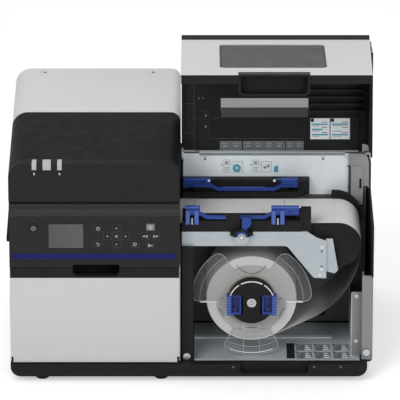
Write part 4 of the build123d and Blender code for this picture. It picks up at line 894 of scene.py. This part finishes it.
def flange_details():
    """Moulded edges and ribs of the clear flange drawn as bright lines of painted highlight, painted glints
    on it, dark lines, and the hub's centre and clips.
    """
    bm = bmesh.new()
    # Bright lines along the wings' edges and ribs: painted highlight on real edges.
    for angle, half in WINGS:
        add_loop(bm, wing_path(angle, half, 0.1), wing_path(angle, half, 1.0), FLANGE_EDGE, closed=False)
        roll_arc(bm, 86.0, 86.7, angle - half + 0.03, angle + half - 0.03, FLANGE_RIB, 30)
    for x in (-13.2, 13.2):
        add_box(bm, (ROLL_X + x - 0.4, ROLL_X + x + 0.4), FLANGE_RIB, (ROLL_Z - 98, ROLL_Z - 72))
    piece("flange_edges", bm, "clear_edge_highlight", "roll")

    # Glints on the flange, along the roll's lower edge and round the hub: painted highlights.
    bm = bmesh.new()
    low, span, shorter, longer = -pi / 2, 0.5, 0.12, 0.62
    roll_arc(bm, 96.6, 97.8, low - span + shorter, low + span - shorter, FLANGE_EDGE, 24)
    roll_arc(bm, 72.6, 73.5, low - longer, low + longer, FLANGE_RIB, 24)
    for side in (-1, 1):
        add_box(bm, mirrored(ROLL_X, side, 57, 86), FLANGE_EDGE, (ROLL_Z - 6.4, ROLL_Z - 4.6))
        add_disc(bm, ROLL_X + side * 13, ROLL_Z - 49.5, 1.0, FLANGE_RIB, 10)
    for start, end in ((0.33, 0.98), (1.08, pi - 1.08), (pi - 0.98, pi - 0.33)):
        roll_arc(bm, 37.0, 38.5, start, end, (26.7, 28.2), 16)
    piece("flange_painted_glints", bm, "clear_painted_glint", "roll")

    bm = bmesh.new()
    add_arc_band(bm, ROLL_X, ROLL_Z + 72.4, 26.6, 27.3, 1.14 * pi, 1.86 * pi, FLANGE_RIB, 28)
    for side in (-1, 1):
        start, end = (pi - 0.9, pi - 0.1) if side > 0 else (0.1, 0.9)
        add_arc_band(bm, ROLL_X + side * 72, ROLL_Z - 36, 24.6, 25.3, start, end, FLANGE_RIB, 8)
        add_box(bm, mirrored(ROLL_X, side, 46.5, 52.5), FLANGE_RIB, (ROLL_Z + 0.4, ROLL_Z + 1.0))
        add_box(bm, mirrored(ROLL_X, side, 16, 22), FLANGE_RIB, (ROLL_Z - 53.8, ROLL_Z - 53.2))
    add_box(bm, (ROLL_X - 9, ROLL_X + 9), FLANGE_RIB, (ROLL_Z - 52.2, ROLL_Z - 51.6))
    piece("flange_lines", bm, "clear_shade", "roll")

    bm = bmesh.new()
    add_disc(bm, ROLL_X, ROLL_Z, 7.8, (25.7, 26.9), 40)
    piece("hub_cap", bm, "tray_sheet", "roll", bevel=0.5)
    bm = bmesh.new()
    roll_arc(bm, 2.8, 3.5, 0, TURN, (25.4, 25.8), 28)
    piece("hub_cap_ring", bm, "steel_dark", "roll")

    # Each clip's ridges carry a painted highlight and its recess painted shade.
    ridges, ridge_low, ridge_pitch, ridge_width = 7, 112.0, 4.7, 3.1
    for side, way in (("left", -1), ("right", 1)):
        body = "hub_clip_" + side
        bm = bmesh.new()
        for i in range(ridges):
            low = ridge_low + i * ridge_pitch
            add_box(bm, mirrored(ROLL_X, way, 41.4, 34.4), (23.1, 24.1), (low, low + ridge_width))
        piece("clip_ridges_" + side, bm, "blue_painted_highlight", body, bevel=0.4)
        bm = bmesh.new()
        add_box(bm, mirrored(ROLL_X, way, 20.8, 33.2), (31.4, 32.2), (115.6, 141.8))
        add_box(bm, mirrored(ROLL_X, way, 24, 32), (28.6, 31.4), (116, 124))
        piece("clip_recess_" + side, bm, "blue_painted_shade", body, bevel=0.3)


def web_details():
    """Faint gaps between labels on the web."""
    width = 0.9
    gaps = [((x, x + width), (49.5, 158.5), (266.78, 266.85)) for x in (5.0, 155.4, -146)]
    flat_boxes("label_gaps", "liner", gaps)


def bay_details():
    """Screws in the base's front, and pale marks on the rear guide bar."""
    bm = bmesh.new()
    for x in (69.5, 204.5, 248.8):
        add_disc(bm, x, 27.4, 2.1, (-0.25, 0.1), 18)
    piece("base_screws", bm, "steel_dark", "chassis")
    bm = bmesh.new()
    for x in (29.0, 139.0):
        add_disc(bm, x, 298, 2.3, (163.2, 163.6), 18)
    piece("guide_marks", bm, "sticker_white", "rear_guide_bar")


def cartridge_labels():
    """A plain label in each cartridge's ink colour."""
    left, step, width, face = -294.0, 50.0, 46.0, (15.8, 16.02)
    for i, tone in enumerate(("ink_black", "ink_cyan", "ink_magenta", "ink_yellow")):
        x = left + i * step
        patches = [
            ((x + inset, x + width - inset), face, z) for inset, z in ((12, (104, 127)), (15, (99, 101.5)))
        ]
        flat_boxes("cartridge_label_" + str(i + 1), tone, patches)


def inlet_pins():
    """The three blades of the power inlet at the back."""
    half = 1.1
    blades = [((x - half, x + half), (396, 408), (72.5, 77.5)) for x in (-101, -89)]
    blades.append(((-97.2, -92.8), (396, 409), (77.8, 80.2)))
    flat_boxes("inlet_pins", "steel", blades, bevel=0.3)


def cover_details():
    """Screws, black edge trims and seams on the raised cover, and dark strips of painted shade in its window,
    given in the shut cover's place.
    """
    steps, sunk, proud = 18, 0.8, 0.2
    for name, spots, radius, face in (
        ("bracket_screws", ((23.7, 63.9), (23.7, 45.0)), 2.0, 339.4),
        ("bracket_dots", ((12.6, 93.1), (19.2, 93.1)), 1.3, 341.9),
    ):
        bm = bmesh.new()
        for x, away in spots:
            outline = circle_points(x, HINGE_Y - away, radius, steps, 0, TURN)
            add_solid(bm, [[(px, py, pz) for px, py in outline] for pz in (face - sunk, face + proud)])
        piece(name, bm, "steel_dark", COVER, in_cover=True)
    front_edge, front_rise = (0.1, 3), (35.4, 36.1)
    cover_boxes("cover_trims", "black_plastic", [
        ((-17, -14), (14.6, 188), (332.9, 333.3)), ((299, 302), (10.5, 188.5), (275.0, 275.6)),
        ((-17, 75.8), front_edge, front_rise), ((192.2, 293), front_edge, front_rise),
        ((280.9, 298.9), (120, 194), (346.2, 346.9)),
    ])
    bm = bmesh.new()
    add_across(bm, [(0, 336.3), (-5.5, 350), (3, 350), (3, 336.3)], (279, 298))
    piece("visor_end", bm, "black_plastic", COVER, in_cover=True)
    window = (49.5, 195.5)
    # Dark strips behind the window's lower half: painted shade, standing in for the darker inside seen
    # through it.
    cover_boxes("window_lower_shade", "window_painted_shade", [
        (window, (117.2, 133.8), (342.6, 343.4)), (window, (133.3, 133.8), (342.2, 342.7)),
    ])
    seam = (341.8, 342.1)
    cover_boxes("liner_seams", "panel_rim", [
        ((4, 47), (134.5, 135), seam), ((-13, 4), (110, 110.5), seam), ((-13, 4), (160, 160.5), seam),
        ((3.6, 4.1), (60, 190), seam), ((8, 186), (170.2, 170.7), seam),
    ])


def plate_details():
    """Folded lip, lower part and holes of the light plate, and the jamb's panels beside it. The lip's darker
    sheet, the black discs in the holes and the black box in the jamb's slot are painted shade.
    """
    # The lip is the plate's own sheet, coloured darker: painted shade.
    lip = [((13.2, 257.8), (185.7, 187.0), (334.8, 339.3))]
    flat_boxes("plate_lip", "lip_painted_shade", lip, bevel=0.3)
    flat_boxes("plate_folds", "back_sheet", [
        ((183, 264), (187.1, 188.4), (264.6, 281.2)), ((13.2, 257.8), (185.8, 196), (339.5, 340.0)),
    ])
    bm = bmesh.new()
    for x in (22.5, 221.0):
        add_disc(bm, x, 327.5, 1.75, (187.3, 188.4), 16)
    piece("plate_hole_shade", bm, "black_plastic", "chassis")
    edge = (180.9, 181.45)
    flat_boxes("plate_edge", "teal_edge", [
        ((264.2, 267.6), edge, (268, 318)), ((261.4, 264.4), edge, (316.2, 318.4)),
    ])
    flat_boxes("jamb_lower_panel", "grey_plastic", [
        ((267.8, 288.4), (181.3, 182.7), (248, 284)), ((268.6, 288.4), (180.7, 181.5), (284, 314)),
        ((296.8, 298.9), (188.9, 189.9), (275, 323)),
    ], bevel=0.3)
    # Black strips in the bay; the one in the slot beside the jamb is painted shade.
    flat_boxes("bay_dark_parts_and_slot_shade", "black_plastic", [
        ((282.2, 285.8), (180.2, 180.8), (277.4, 295)), ((159.5, 172.6), (28, 94), (30, 31.2)),
        ((-19.2, -17.02), (192, 206), (34, 349.5)),
    ], bevel=0.2)
    flat_boxes("floor_jamb_face", "jamb_sheet", [
        ((267.1, 283.6), (39.6, 39.95), (34, 145.8)), ((269, 282), (39.4, 39.7), (31, 34)),
    ])
    flat_boxes("floor_jamb_edge", "screw_head", [
        ((266.7, 267.5), (39.4, 39.9), (31, 145.6)),
    ])


def panel_details():
    """Rounded bead along the top of the control panel, which carries its highlight."""
    low, high, swell, steps, behind = 297.0, 310.5, 0.9, 16, 0.3
    rise = high - low
    arc = [(-swell * sin(pi * i / steps), low + rise * i / steps) for i in range(steps + 1)]
    bm = bmesh.new()
    add_across(bm, [(behind, low)] + arc + [(behind, high)], (-300.4, -20.6))
    piece("panel_bead", bm, "panel_gloss", "chassis")


LEVER_X, LEVER_Z, LEVER_STEPS = 83.0, 253.0, 28
FRONT_BAR, REAR_BAR = "front_guide_bar", "rear_guide_bar"
FRONT_BAR_FACE, REAR_BAR_FACE = (25.6, 26.1), (163.1, 163.6)


def lever_details():
    """Black clip, arch and boss round the thumb lever, and the lever's washer and screw."""
    flat_boxes("bar_clip", "black_plastic", [
        ((56.8, 81.0), (25.93, 26.1), (270, 291)), ((59, 79), (25.96, 26.1), (268, 270)),
    ], FRONT_BAR)
    bm = bmesh.new()
    opening = 0.06
    add_arc_band(bm, LEVER_X, LEVER_Z, 10.4, 14.2, opening, pi - opening, (16.2, 17.4), LEVER_STEPS)
    for side in (-1, 1):
        add_box(bm, mirrored(LEVER_X, side, 11.6, 19), (16.2, 24.9), (255.6, 261.5))
    piece("lever_arch", bm, "black_plastic", "chassis", bevel=0.3)
    bm = bmesh.new()
    add_arc_band(bm, LEVER_X, LEVER_Z, PINHOLE, 12.2, pi, TURN, (15.9, 16.8), LEVER_STEPS)
    piece("lever_boss", bm, "plated_sheet", "chassis", bevel=0.2)
    for name, finish, radii, y in (
        ("lever_washer", "plated_sheet", (PINHOLE, 6.4), (15.2, 15.45)),
        ("lever_screw_ring", "steel_dark", (3.2, 4.0), (15.0, 15.2)),
        ("lever_screw", "screw_head", (PINHOLE, 3.1), (14.8, 15.2)),
    ):
        bm = bmesh.new()
        add_arc_band(bm, LEVER_X, LEVER_Z, *radii, 0, TURN, y, LEVER_STEPS)
        piece(name, bm, finish, "chassis")


def guide_details():
    """Light rods and faces in the front bar's forks, and lips and slots in both bars. The faces and lips are
    coloured with a painted highlight, the slots with painted shade.
    """
    rods, faces = [], []
    for start in (-10.0, 132.0):
        rods.append(((start + 9.9, start + 12.1), (24.5, 26.0), (272.6, 284)))
        for leg in ((0.5, 6.9), (15.1, 21.5)):
            faces.append(((start + leg[0], start + leg[1]), (23.35, 23.7), (273.8, 297)))
    flat_boxes("fork_rods", "icon_pale", rods, FRONT_BAR, bevel=0.3)
    flat_boxes("fork_faces", "blue_painted_highlight", faces, FRONT_BAR, bevel=0.15)
    for name, finish, body, y, bevel, spans in (
        ("rear_bar_lips", "blue_painted_highlight", REAR_BAR, REAR_BAR_FACE, 0.15, (
            ((-13, 26), (299.4, 301.6)), ((142, 178), (299.4, 301.6)), ((52, 124), (285.8, 287)))),
        ("rear_bar_slots", "blue_painted_shade", REAR_BAR, REAR_BAR_FACE, 0, (
            ((-12, 4), (288.6, 290.2)), ((8, 24), (292.6, 293.6)), ((142, 174), (289.4, 291)),
            ((146, 152), (294.6, 297.2)), ((14, 21), (295.4, 297.6)))),
        ("front_bar_lips", "blue_painted_highlight", FRONT_BAR, FRONT_BAR_FACE, 0.15, (
            ((-12.4, 12.6), (301.4, 304)), ((133, 178), (301.4, 304)), ((41, 55), (282.4, 283.4)))),
        ("front_bar_slots", "blue_painted_shade", FRONT_BAR, FRONT_BAR_FACE, 0, (
            ((156, 177), (288.4, 290)), ((160, 168), (294.4, 296)))),
    ):
        flat_boxes(name, finish, [(x, y, z) for x, z in spans], body, bevel=bevel)


def hood_details():
    """Two plain symbols under the status windows and small marks at the casing's rear edge."""
    face, size = (-0.1, 0.1), 1.3
    bm = bmesh.new()
    for cx in (-258.8, -216.9):
        add_disc(bm, cx, 371.2, 1.5, face, 12)
        add_prism(bm, triangle(cx, 373.2, size, pi / 2), face)
    piece("status_symbols", bm, "icon_pale", "chassis")
    top, marks = (410.6, 411.2), []
    for x in (-252.0, -66.6):
        marks += [((x - 6, x - 4.6), (388, 391), top), ((x - 1.5, x + 3), (386.5, 392), top)]
    flat_boxes("casing_marks", "sticker_dark", marks)


key_icons()
key_surrounds()
screen_details()
plate_stickers()
cover_stickers()
floor_stickers()
flange_details()
web_details()
bay_details()
cartridge_labels()
inlet_pins()
cover_details()
plate_details()
lever_details()
guide_details()
hood_details()
panel_details()
set_scene()
